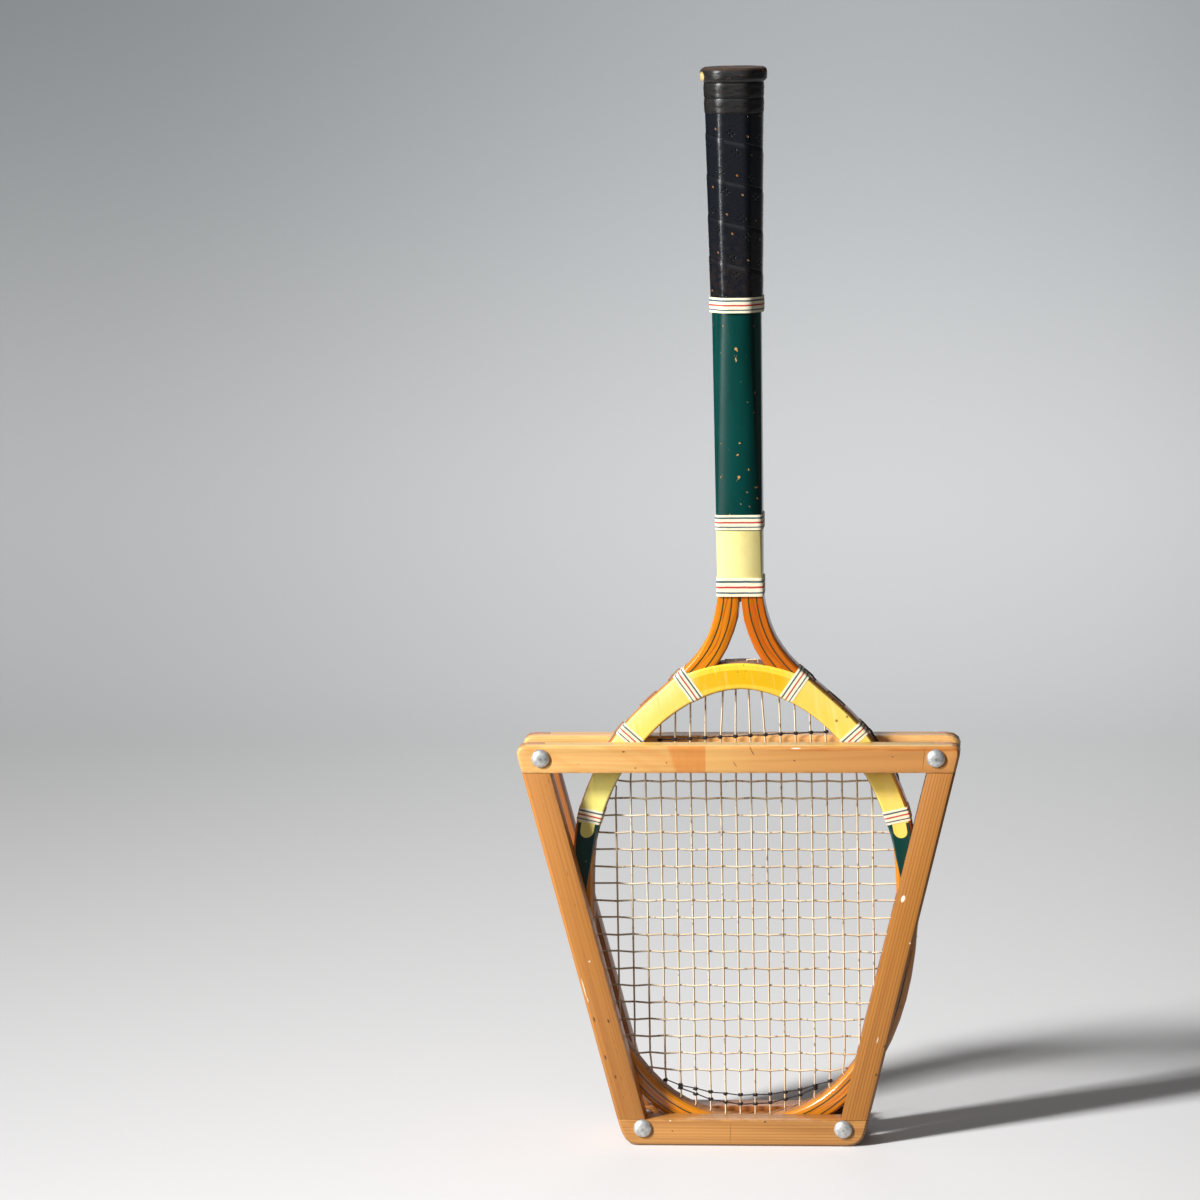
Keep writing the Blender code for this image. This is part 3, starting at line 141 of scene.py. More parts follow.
# Marks on the laths: X, Z, half width and half height in millimetres, run to the side and ink
LATH_MARKS = {
    "front_rail_top": (
        (-72.3, 256.5, 0.9, 0.5, 0.0, "dark"), (-64.9, 246.0, 0.5, 0.5, 0.0, "dark"),
        (-1.7, 248.4, 0.25, 1.9, -0.6, "dark"), (8.4, 258.4, 0.3, 1.3, -0.5, "dark"),
        (9.6, 256.0, 0.35, 1.6, -0.6, "dark"), (36.0, 250.8, 0.5, 0.5, 0.0, "dark"),
        (37.0, 258.6, 3.0, 0.4, 0.0, "pale"), (117.6, 252.0, 0.16, 7.5, 0.12, "dark"),
        (-45.0, 249.5, 0.4, 0.5, 0.0, "dark"), (98.0, 253.2, 0.5, 0.4, 0.0, "dark"),
    ),
    "front_rail_left": (
        (-100.2, 103.0, 0.35, 6.2, -0.25, "pale"), (-96.4, 120.6, 0.6, 0.6, 0.0, "pale"),
        (-84.9, 81.7, 0.7, 1.3, -0.25, "dark"), (-87.3, 58.0, 0.6, 1.5, -0.25, "dark"),
        (-81.1, 45.2, 0.6, 1.2, -0.25, "dark"), (-94.1, 82.8, 0.6, 1.6, -0.25, "dark"),
        (-98.0, 95.5, 0.3, 1.6, -0.25, "pale"),
    ),
    "front_rail_right": (
        (103.7, 161.8, 1.25, 2.2, 0.25, "paint"), (85.6, 47.4, 0.8, 0.9, 0.25, "dark"),
        (91.1, 66.1, 0.7, 0.8, 0.25, "dark"), (86.7, 70.0, 0.35, 2.0, 0.25, "pale"),
        (107.9, 133.1, 0.6, 0.6, 0.0, "pale"),
    ),
    "front_rail_bottom": (
        (14.3, 16.2, 0.8, 0.6, 0.0, "dark"), (-46.4, 16.6, 0.6, 0.5, 0.0, "pale"),
        (-45.2, 9.8, 0.5, 0.5, 0.0, "dark"), (-8.0, 8.6, 0.16, 6.0, 0.05, "dark"),
    ),
}


def tint(red, green, blue):
    """A colour as it is seen on a screen, 0 to 255, as the linear values of a shader."""
    return tuple(
        c / 12.92 if c <= 0.04045 else ((c + 0.055) / 1.055) ** 2.4
        for c in (red / 255, green / 255, blue / 255)
    )


def colour_setting(name, words, *values):
    return FloatVectorProperty(
        name=name, description=words, subtype="COLOR", min=0.0, max=1.0, default=tint(*values))


def length_setting(name, words, value):
    return FloatProperty(
        name=name, description=words, subtype="DISTANCE", unit="LENGTH", min=0.0, max=1.0,
        default=value, precision=5)


MARK_INKS = {"dark": tint(96, 56, 26), "pale": tint(250, 232, 204), "paint": tint(248, 240, 226)}


class RacketWood(PropertyGroup):
    varnish: colour_setting("Varnish", "Varnished ash of the bow", 214, 108, 6)
    shade: colour_setting("Grain", "Darker grain of the bow", 152, 66, 4)
    core: colour_setting("Core", "Reddish glue line between the two core strips", 172, 74, 18)
    veneer: colour_setting("Veneer", "Dyed veneers between the plies", 62, 52, 16)
    wall: colour_setting("Inner wall", "Rubbed wood inside the head", 158, 120, 94)
    soften: length_setting("Edge", "Rounding of the bow's edges", 0.25 * MM)


class RacketLacquer(PropertyGroup):
    green: colour_setting("Green", "Lacquer on the shaft and the points", 0, 62, 57)
    yellow: colour_setting("Yellow", "Lacquer on the shoulders, at the outer face", 255, 238, 150)
    gold: colour_setting("Gold", "Lacquer on the shoulders, at the opening", 255, 220, 110)
    amber: colour_setting("Amber", "Deeper yellow on the bridge", 236, 186, 10)
    cream: colour_setting("Cream", "Panel between the shaft's rings", 248, 233, 155)


class RacketTape(PropertyGroup):
    cream: colour_setting("Ground", "Woven ground of the tape", 255, 244, 212)
    blue: colour_setting("Blue", "Dark lines near the tape's edges", 34, 78, 92)
    red: colour_setting("Red", "Line along the middle of the tape", 190, 20, 20)
    wall: length_setting("Thickness", "Thickness of the tape", 0.35 * MM)


class RacketGrip(PropertyGroup):
    leather: colour_setting("Leather", "Worn black leather", 18, 21, 28)
    rubbed: colour_setting("Rubbed", "Leather where it is worn brown", 50, 38, 30)
    hide: colour_setting("Bare hide", "Tan that shows in the holes and chips", 142, 98, 52)
    pitch: length_setting("Pitch", "Height of one turn of the wound leather", 25.8 * MM)
    overlap: length_setting("Overlap", "Step where one turn lies on the last", 0.35 * MM)


class RacketStrings(PropertyGroup):
    gut: colour_setting("Gut", "Twisted gut", 236, 220, 188)
    stain: colour_setting("Stain", "Dark spots where strings cross", 120, 78, 42)
    yarn: colour_setting("Yarn", "Thin dark yarn across the strings", 34, 26, 28)
    swell: length_setting("Swelling", "How far a string's four sides are swelled to a round one", 0.02 * MM)
    knot: length_setting("Knot", "Radius of a knot of the yarn", 1.6 * MM)


class RacketPress(PropertyGroup):
    cream: colour_setting("Pale lath", "Pale wood of the top lath", 230, 180, 107)
    honey: colour_setting("Honey lath", "Warm wood of the bottom lath", 207, 147, 78)
    orange: colour_setting("Orange lath", "Orange wood of the left lath", 198, 132, 61)
    soften: length_setting("Edge", "Rounding of the laths' broken edges", 0.8 * MM)
    zinc: colour_setting("Zinc", "Dull zinc of bolts, washers and nuts", 218, 220, 218)


class RacketStage(PropertyGroup):
    floor: colour_setting("Floor", "Pale floor", 239, 238, 238)
    wall: colour_setting("Backdrop", "Grey paper behind the racket", 178, 183, 186)
    key: FloatProperty(name="Key light", description="Power of the lamp on the left", default=175.0, min=0.0)
    fill: FloatProperty(name="Fill light", description="Strength of the room's light", default=0.06, min=0.0)


SETTINGS = {
    "racket_wood": RacketWood,
    "racket_lacquer": RacketLacquer,
    "racket_tape": RacketTape,
    "racket_grip": RacketGrip,
    "racket_strings": RacketStrings,
    "racket_press": RacketPress,
    "racket_stage": RacketStage,
}


def settings(group):
    return getattr(bpy.context.scene, group)


# Shader values

class Value:
    """A number in a shader that takes Python's arithmetic."""

    def __init__(self, finish, socket):
        self.finish = finish
        self.socket = socket

    def maths(self, operation, *others):
        return self.finish.node("ShaderNodeMath", {"operation": operation}, dict(enumerate(others)))

    def __add__(self, other):
        return self.maths("ADD", self, other)

    def __sub__(self, other):
        return self.maths("SUBTRACT", self, other)

    def __rsub__(self, other):
        return self.maths("SUBTRACT", other, self)

    def __mul__(self, other):
        return self.maths("MULTIPLY", self, other)

    def __truediv__(self, other):
        return self.maths("DIVIDE", self, other)

    def __pow__(self, other):
        return self.maths("POWER", self, other)

    def __lt__(self, other):
        return self.maths("LESS_THAN", self, other)

    def __gt__(self, other):
        return self.maths("GREATER_THAN", self, other)

    def __abs__(self):
        return self.maths("ABSOLUTE", self)

    def floor(self):
        return self.maths("FLOOR", self)

    def fract(self):
        return self.maths("FRACT", self)

    def root(self):
        return self.maths("SQRT", self)

    def sine(self):
        return self.maths("SINE", self)

    def most(self, other):
        return self.maths("MAXIMUM", self, other)

    def ease(self, low, high):
        """0 up to low, 1 from high, smooth between."""
        return self.finish.node(
            "ShaderNodeMapRange", {"interpolation_type": "SMOOTHSTEP"},
            {0: self, 1: low, 2: high, 3: 0.0, 4: 1.0})

    __radd__ = __add__
    __rmul__ = __mul__


class Finish:
    """A material that is built node by node."""

    def __init__(self, name):
        self.material = bpy.data.materials.new(name)
        self.material.use_nodes = True
        self.tree = self.material.node_tree
        self.shader = self.tree.nodes["Principled BSDF"]
        place = self.tree.nodes.new("ShaderNodeTexCoord")
        self.x, self.y, self.z = self.split(Value(self, place.outputs["Object"]))

    def plug(self, socket, value):
        if isinstance(value, Value):
            self.tree.links.new(value.socket, socket)
        elif socket.type == "RGBA" and len(value) == 3:
            socket.default_value = (*value, 1.0)
        else:
            socket.default_value = value

    def node(self, kind, options=None, values=None, out=0):
        made = self.tree.nodes.new(kind)
        for key, option in (options or {}).items():
            setattr(made, key, option)
        for key, value in (values or {}).items():
            self.plug(made.inputs[key], value)
        return Value(self, made.outputs[out])

    def split(self, vector):
        made = self.tree.nodes.new("ShaderNodeSeparateXYZ")
        self.plug(made.inputs[0], vector)
        return [Value(self, socket) for socket in made.outputs]

    def join(self, x, y, z):
        return self.node("ShaderNodeCombineXYZ", None, {0: x, 1: y, 2: z})

    def sheet(self, layer):
        """The two values of a piece's own map."""
        return self.split(self.node("ShaderNodeUVMap", {"uv_map": layer}))[:2]

    def noise(self, x, y, z, detail=2.0, rough=0.5):
        return self.node("ShaderNodeTexNoise", None, {
            "Vector": self.join(x, y, z), "Scale": 1.0, "Detail": detail, "Roughness": rough})

    def cells(self, x, y, z):
        """Distance to scattered points."""
        return self.node("ShaderNodeTexVoronoi", None, {"Vector": self.join(x, y, z), "Scale": 1.0})

    def mix(self, share, first, second):
        return self.node(
            "ShaderNodeMix", {"data_type": "RGBA"}, {0: share, 6: first, 7: second}, out=2)

    def near(self, x, y, radius, blur=0.4):
        """1 inside a spot of the two distances x and y, 0 outside."""
        return 1 - (x * x + y * y).root().ease(radius * (1 - blur), radius * (1 + blur))

    def done(self, colour, rough, height=None, depth=0.0, metal=0.0, coat=0.0, coat_rough=0.2):
        self.plug(self.shader.inputs["Base Color"], colour)
        self.plug(self.shader.inputs["Roughness"], rough)
        self.plug(self.shader.inputs["Metallic"], metal)
        self.plug(self.shader.inputs["Coat Weight"], coat)
        self.shader.inputs["Coat Roughness"].default_value = coat_rough
        if height is not None:
            normal = self.node("ShaderNodeBump", None, {"Strength": 1.0, "Distance": depth, "Height": height})
            self.plug(self.shader.inputs["Normal"], normal)
        return self.material


def timber(finish, along, across, deep, light, dark, pale, year, lines, streaks, clouds, pores, sway):
    """Colour and height of sawn wood; along, across, deep and year are lengths in metres."""
    wander = finish.noise(along * 8, across * 24, deep * 24, 2) - 0.5
    ring = (across + deep * 0.35 + wander * (8 * MM * sway)) / year
    late = ((ring * 6.2832).sine() * 0.5 + 0.5) ** 2
    odd = finish.noise(ring * 0.3, along * 2, 0.5, 1).ease(0.3, 0.7)
    fibre = finish.noise(along * 7, across * 820, deep * 820, 2, 0.6)
    cloud = finish.noise(along * 12, across * 40, deep * 40, 2)
    pore = finish.noise(along * 200, across * 1500, deep * 1500, 1).ease(0.72, 0.78)
    colour = finish.mix(late * (odd * 0.4 + 0.6) * lines, light, dark)
    colour = finish.mix(fibre.ease(0.40, 0.75) * streaks, colour, dark)
    colour = finish.mix(cloud.ease(0.48, 0.78) * clouds, colour, pale)
    colour = finish.mix(pore * pores, colour, tint(92, 52, 20))
    height = fibre * 0.6 - late * 0.3 - pore * 0.6
    return colour, height


# Modelling

def pick(*pieces):
    if bpy.context.object and bpy.context.object.mode != "OBJECT":
        bpy.ops.object.mode_set(mode="OBJECT")
    bpy.ops.object.select_all(action="DESELECT")
    for piece in pieces:
        piece.select_set(True)
    bpy.context.view_layer.objects.active = pieces[-1]


def named(name):
    piece = bpy.context.object
    piece.name = name
    piece.data.name = name
    return piece


def settle(piece):
    """Put a piece's place, turn and size into its mesh."""
    pick(piece)
    bpy.ops.object.transform_apply(location=True, rotation=True, scale=True)
    return piece


def apply_all(piece):
    pick(piece)
    for modifier in list(piece.modifiers):
        bpy.ops.object.modifier_apply(modifier=modifier.name)
    return piece


def cad_copy(node, name):
    """A copy of a CAD node, its loose triangles joined to faces."""
    pick(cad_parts[node])
    bpy.ops.object.duplicate()
    piece = named(name)
    for key in [key for key in piece.keys() if key.startswith("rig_")]:
        del piece[key]
    piece.parent = None
    piece.data.materials.clear()
    bpy.ops.object.mode_set(mode="EDIT")
    bpy.ops.mesh.select_all(action="SELECT")
    bpy.ops.mesh.remove_doubles(threshold=0.01 * MM)
    bpy.ops.mesh.dissolve_limited(angle_limit=math.radians(0.3))
    bpy.ops.object.mode_set(mode="OBJECT")
    if piece.data.has_custom_normals:
        bpy.ops.mesh.customdata_custom_splitnormals_clear()
    return piece


def soften(piece, width, segments=2, angle=30):
    """Round the sharp edges and smooth the rest."""
    bevel = piece.modifiers.new("soften", "BEVEL")
    bevel.width = width
    bevel.segments = segments
    bevel.limit_method = "ANGLE"
    bevel.angle_limit = math.radians(angle)
    apply_all(piece)
    bpy.ops.object.shade_smooth_by_angle(angle=math.radians(angle + 5))
    return piece


def face_out():
    """Turn the faces of the piece in edit mode outwards, and leave edit mode."""
    bpy.ops.mesh.select_all(action="SELECT")
    bpy.ops.mesh.normals_make_consistent(inside=False)
    bpy.ops.object.mode_set(mode="OBJECT")


def coat(piece, material, body, slot, *nodes):
    """Give a finished piece its material, its body and the nodes that it stands for."""
    piece.data.materials.clear()
    piece.data.materials.append(material)
    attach(piece, body)
    if nodes:
        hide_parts(*nodes)
    return piece


def wound_sheet(name, columns, rows, where, layer="sheet", closed=True, wall=0.0, flat=False):
    """A flat grid laid in space: where(s, t) gives a point and the two values of its map."""
    bpy.ops.object.select_all(action="DESELECT")
    bpy.ops.mesh.primitive_grid_add(x_subdivisions=columns, y_subdivisions=rows, size=2)
    piece = named(name)
    mesh = piece.data
    shares = [((v.co.x + 1) / 2, (v.co.y + 1) / 2) for v in mesh.vertices]
    made = [where(min(max(s, 0.0), 1.0), min(max(t, 0.0), 1.0)) for s, t in shares]
    mesh.uv_layers.active.name = layer
    sheet = mesh.uv_layers[layer]
    for loop in mesh.loops:
        sheet.data[loop.index].uv = made[loop.vertex_index][1]
    for vertex, (point, _) in zip(mesh.vertices, made):
        vertex.co = point
    bpy.ops.object.mode_set(mode="EDIT")
    bpy.ops.mesh.select_all(action="SELECT")
    if closed:
        bpy.ops.mesh.remove_doubles(threshold=0.005 * MM)
    face_out()
    if wall:
        solid = piece.modifiers.new("wall", "SOLIDIFY")
        solid.thickness = abs(wall)
        solid.offset = 1.0 if wall > 0 else -1.0
        apply_all(piece)
    if not flat:
        bpy.ops.object.shade_smooth_by_angle(angle=math.radians(40))
    return piece


# The bow's line

class Line:
    """A line in X and Z that is measured along its length."""

    def __init__(self, points):
        self.points = [Vector(point) for point in points]
        self.marks = [0.0]
        for a, b in zip(self.points, self.points[1:]):
            self.marks.append(self.marks[-1] + (b - a).length)

    def span(self, mark):
        k = 0
        while k < len(self.marks) - 2 and self.marks[k + 1] <= mark:
            k += 1
        return k

    def at(self, mark):
        k = self.span(mark)
        share = (mark - self.marks[k]) / (self.marks[k + 1] - self.marks[k])
        return self.points[k].lerp(self.points[k + 1], share)

    def nearest(self, place):
        """Mark of the nearest point, and the distance to it, positive on the left."""
        best = None
        for k, (a, b) in enumerate(zip(self.points, self.points[1:])):
            run = b - a
            share = min(max((place - a).dot(run) / run.length_squared, 0.0), 1.0)
            gap = place - (a + run * share)
            if best is None or gap.length < abs(best[1]):
                side = 1 if run.x * gap.y - run.y * gap.x > 0 else -1
                best = (self.marks[k] + share * run.length, side * gap.length)
        return best

    def crossing(self, axis, value):
        marks = []
        for k, (a, b) in enumerate(zip(self.points, self.points[1:])):
            if (a[axis] <= value) != (b[axis] <= value):
                marks.append(self.marks[k] + (value - a[axis]) / (b[axis] - a[axis]) * (b - a).length)
        return marks


def through(points, steps):
    """A smooth line through points, with a few steps from each to the next."""
    line = []
    for k in range(len(points) - 1):
        before, start, end = points[max(k - 1, 0)], points[k], points[k + 1]
        after = points[min(k + 2, len(points) - 1)]
        for step in range(steps):
            t = step / steps
            line.append(tuple(
                0.5 * (2 * b + (c - a) * t + (2 * a - 5 * b + 4 * c - d) * t * t
                       + (3 * b - a - 3 * c + d) * t ** 3)
                for a, b, c, d in zip(before, start, end, after)))
    line.append(points[-1])
    return line


def half_oval(half, reach, power, steps):
    """Lower half of a superellipse from its right side to its left side."""
    line = []
    for k in range(steps + 1):
        angle = math.pi * k / steps
        turn = min(angle, math.pi - angle)
        x = half * math.cos(turn) ** (2 / power)
        line.append((x if angle <= math.pi / 2 else -x, -reach * math.sin(turn) ** (2 / power)))
    return line


def bow_outline():
    """Outer face of the bow below the shaft's lower ring, from the right round to the left."""
    top = 700 * MM
    flare = [(HEAD_HALF, WIDEST)]
    flare += [(SHAFT_HALF + (HEAD_HALF - SHAFT_HALF) * share, WIDEST + height) for height, share in FLARE]
    right = [(SHAFT_HALF + (top - THROAT_END) * 0.01, top)] + through(flare, 2)[::-1]
    lower = [(x, WIDEST + z) for x, z in half_oval(HEAD_HALF, WIDEST, TIP_POWER, BOW_STEPS)]
    return right[:-1] + lower + [(-x, z) for x, z in reversed(right[:-1])]


def wall_outline():
    """Left half of the opening's wall, from its lowest point up to its highest."""
    lower = [(x, WIDEST + z) for x, z in half_oval(OPEN_HALF, OPEN_DROP, TIP_POWER, WALL_STEPS)]
    level = WIDEST + OPEN_STRAIGHT
    upper = [
        (-x, level - z)
        for x, z in half_oval(OPEN_HALF, BRIDGE_LOW - level, SHOULDER_POWER, WALL_STEPS)]
    middle = WALL_STEPS // 2
    return lower[middle:] + upper[:middle + 1]


OUTER = Line(bow_outline())
WALL = Line(wall_outline())


def fullness(height):
    """Thickness of the plies at a height over the tip, as times that round the head."""
    rows = [(THROAT_END - drop, share) for drop, share in FULLNESS]
    if height <= rows[0][0]:
        return rows[0][1]
    for (low, a), (high, b) in zip(rows, rows[1:]):
        if height <= high:
            return a + (b - a) * (height - low) / (high - low)
    return rows[-1][1]


def in_racket(x, y, z):
    """A place on the racket, from its long axis, middle plane and tip, in the frame."""
    return AXIS + Vector((x, y, z))


def map_along_bow(piece):
    """The piece's own map: length along the bow, and depth under its outer face."""
    mesh = piece.data
    places = []
    for vertex in mesh.vertices:
        height = vertex.co.z - AXIS.z
        mark, gap = OUTER.nearest(Vector((vertex.co.x - AXIS.x, height)))
        places.append((mark, -gap / fullness(height)))
    sheet = mesh.uv_layers.new(name="bow")
    for loop in mesh.loops:
        sheet.data[loop.index].uv = places[loop.vertex_index]


# Finishes of the racket

def green_lacquer(finish, tone):
    """Colour and height of the worn green lacquer."""
    cloud = finish.noise(finish.x * 120, finish.y * 120, finish.z * 30, 3)
    scuff = finish.noise(finish.x * 900, finish.y * 900, finish.z * 500, 2, 0.7)
    chip = finish.noise(finish.x * 260 + 3.1, finish.y * 260, finish.z * 210, 2, 0.6)
    mask = chip.ease(0.70, 0.715)
    colour = finish.mix(cloud.ease(0.35, 0.75) * 0.5, tone.green, tuple(c * 0.55 for c in tone.green))
    colour = finish.mix(scuff.ease(0.72, 0.78) * 0.5, colour, tint(96, 120, 104))
    colour = finish.mix(mask, colour, tint(196, 150, 88))
    return colour, 1 - mask


def bow_wood(name, wall=False):
    """Varnished wood whose grain follows the bow; green where it is part of the shaft."""
    wood = settings("racket_wood")
    finish = Finish(name)
    along, depth = finish.sheet("bow")
    # Painted light and shade: left of the axis the wood is lighter, right of it darker, as for light from the
    # left.
    left = 1 - finish.x.ease(AXIS.x - 30 * MM, AXIS.x + 10 * MM)
    high = finish.z.ease(AXIS.z + 150 * MM, AXIS.z + 300 * MM)
    light = finish.mix(left, wood.varnish[:], tint(240, 142, 8))
    light = finish.mix(high, tint(226, 142, 22), light)
    dark = finish.mix(left, wood.shade[:], tint(178, 86, 6))
    dark = finish.mix(high, tint(150, 80, 10), dark)
    colour, height = timber(
        finish, along, depth, finish.y, light, dark, tint(240, 156, 24), 0.85 * MM, 0.5, 0.5, 0.3, 0.3, 0.6)
    line = finish.near(depth - 6.6 * MM, 0.0 * depth, 0.4 * MM, 0.6)
    colour = finish.mix(line * 0.75, colour, wood.core[:])
    shine = 0.45
    rough = 0.3
    if wall:
        rubbed = depth.ease(13.3 * MM, 13.48 * MM)
        low = 1 - finish.z.ease(AXIS.z + 30 * MM, AXIS.z + 110 * MM)
        tan = finish.mix(low, wood.wall[:], tint(196, 128, 66))
        cloud = finish.noise(finish.x * 110, finish.y * 90, finish.z * 110, 3)
        tan = finish.mix(cloud.ease(0.35, 0.65) * 0.5, tan, tint(112, 70, 38))
        colour = finish.mix(rubbed * 0.85, colour, tan)
        shine = 0.45 - rubbed * 0.4
        rough = rubbed * 0.3 + 0.3
    lacquer = green_lacquer(finish, settings("racket_lacquer"))[0]
    shaft = finish.z.ease(RING_LOW, RING_LOW + MM)
    panel = 1 - finish.z.ease(PANEL_HIGH - MM, PANEL_HIGH)
    lacquer = finish.mix(panel, lacquer, settings("racket_lacquer").cream[:])
    colour = finish.mix(shaft, colour, lacquer)
    return finish.done(colour, rough, height, 0.00002, coat=shine, coat_rough=0.12)


def veneer_finish(name):
    finish = Finish(name)
    along, depth = finish.sheet("bow")
    fleck = finish.noise(along * 500, depth * 3000, finish.y * 1200, 2)
    tone = settings("racket_wood").veneer[:]
    colour = finish.mix(fleck.ease(0.4, 0.7) * 0.5, tone, tuple(c * 2.2 for c in tone))
    return finish.done(colour, 0.4, coat=0.4)


def facing_finish(name):
    """Yellow lacquer over maple, with the green point and its yellow tongue."""
    tone = settings("racket_lacquer")
    finish = Finish(name)
    depth = finish.sheet("bow")[1]
    x, z = finish.x - AXIS.x, finish.z - AXIS.z
    # Shoulders: paler towards the outer face, and more golden on the right and low down; the deeper tone on
    # the right is painted shade, for light from the left
    curl = finish.noise(x * 420 + z * 60, 0.5, z * 26, 3, 0.6)
    cloud = finish.noise(x * 60, 0.5, z * 40, 3)
    shoulder = finish.mix(depth.ease(1 * MM, 13 * MM), tone.yellow[:], tone.gold[:])
    right = x.ease(-20 * MM, 50 * MM)
    shoulder = finish.mix(right * 0.75, shoulder, tint(250, 210, 84))
    lower = finish.mix(right, tint(255, 243, 136), tint(255, 226, 110))
    shoulder = finish.mix((1 - z.ease(236 * MM, 252 * MM)) * 0.85, shoulder, lower)
    # Bridge: a pale rim over a deep yellow band, and a thin brown line along the opening
    rim = depth.ease(3.9 * MM, 4.6 * MM)
    band = finish.mix(rim, tint(250, 219, 60), tone.amber[:])
    low = depth.ease(13.0 * MM, 14.2 * MM)
    band = finish.mix(low, band, tint(250, 205, 60))
    middle = 1 - abs(x).ease(24 * MM, 40 * MM)
    colour = finish.mix(middle * (z > 240 * MM), shoulder, band)
    colour = finish.mix(curl.ease(0.52, 0.72) * 0.30, colour, tint(226, 180, 76))
    colour = finish.mix((1 - curl.ease(0.30, 0.46)) * 0.2, colour, tint(255, 246, 190))
    colour = finish.mix(cloud.ease(0.5, 0.8) * 0.25, colour, tint(244, 206, 104))
    # Green point with its tongue
    heart, half, round_end = TONGUE
    below = (round_end - z).most(0.0)
    tongue = finish.near((depth - heart) / half, below / half, 1.0, 0.03)
    border = finish.near((depth - heart) / half, below / half, 1.07, 0.06)
    yellow = z.ease(206.8 * MM, 207.4 * MM).most(tongue)
    green = green_lacquer(finish, tone)[0]
    colour = finish.mix(1 - yellow, colour, green)
    colour = finish.mix((border - tongue).most(0.0) * (z < 206 * MM) * 0.6, colour, tint(60, 58, 30))
    # Specks, a chip at the bridge's top, and lacquer worn off the right shoulder's outer edge
    for sx, sz, radius, strength in FACING_SPECKS:
        spot = finish.near(x - sx * MM, z - sz * MM, radius * MM)
        colour = finish.mix(spot * strength, colour, tint(140, 78, 34))
    chip = finish.noise(x * 420, 0.5, z * 420, 3, 0.65)
    ragged = (1 - depth.ease(0.0, 2.2 * MM)) * 0.22 + chip
    worn = ragged.ease(0.72, 0.75) * x.ease(40 * MM, 46 * MM) * z.ease(272 * MM, 280 * MM)
    colour = finish.mix(worn, colour, tint(176, 104, 38))
    height = curl * 0.4 - worn
    return finish.done(colour, 0.3, height, 0.00002, coat=0.5, coat_rough=0.12)


def cheek_finish(name):
    """Green lacquer on the shaft and the cream panel between its lower rings."""
    tone = settings("racket_lacquer")
    finish = Finish(name)
    colour, smooth = green_lacquer(finish, tone)
    cloud = finish.noise(finish.x * 260, 0.5, finish.z * 160, 3)
    panel = finish.mix(cloud.ease(0.45, 0.75) * 0.5, tone.cream[:], tint(244, 220, 140))
    worn = finish.noise(finish.x * 1100, 0.5, finish.z * 1100, 3, 0.7)
    panel = finish.mix(worn.ease(0.70, 0.76), panel, tint(190, 128, 66))
    # Painted shade: the green darkens to near black towards the right side of the shaft.
    right = (finish.x - AXIS.x).ease(4 * MM, 13 * MM)
    colour = finish.mix(right * 0.6, colour, tint(6, 14, 14))
    inside = finish.z.ease(PANEL_HIGH - MM, PANEL_HIGH)
    colour = finish.mix(1 - inside, colour, panel)
    finish.shader.inputs["Specular IOR Level"].default_value = 0.3
    return finish.done(colour, 0.28, smooth, 0.00008, coat=0.15, coat_rough=0.1)


def tape_finish(name):
    """Cream woven tape with a dark line near each edge and a red one between them."""
    tone = settings("racket_tape")
    finish = Finish(name)
    along, across = finish.sheet("tape")
    sway = finish.noise(along * 120, across * 2, 0.5, 2)
    at = across + (sway - 0.5) * 0.05
    weave = (along * 5200 + across * 30).sine() * (along * 5200 - across * 30).sine()
    fray = finish.noise(along * 900, across * 25, 0.5, 2)
    colour = finish.mix(fray.ease(0.5, 0.8) * 0.3, tone.cream[:], tint(232, 214, 176))
    colour = finish.mix(weave.ease(0.1, 0.9) * 0.2, colour, tint(206, 182, 140))
    for place, half, line in ((0.2, 0.045, tone.blue), (0.5, 0.055, tone.red), (0.8, 0.06, tone.blue)):
        broken = finish.noise(along * 420, place * 9, 0.5, 2).ease(0.15, 0.35)
        colour = finish.mix(finish.near(at - place, 0.0 * at, half, 0.25) * broken * 0.96, colour, line[:])
    soil = finish.noise(finish.x * 160, finish.y * 160, finish.z * 160, 3)
    colour = finish.mix(soil.ease(0.5, 0.85) * 0.3, colour, tint(190, 160, 112))
    return finish.done(colour, 0.55, weave * 0.4 + fray, 0.00006)


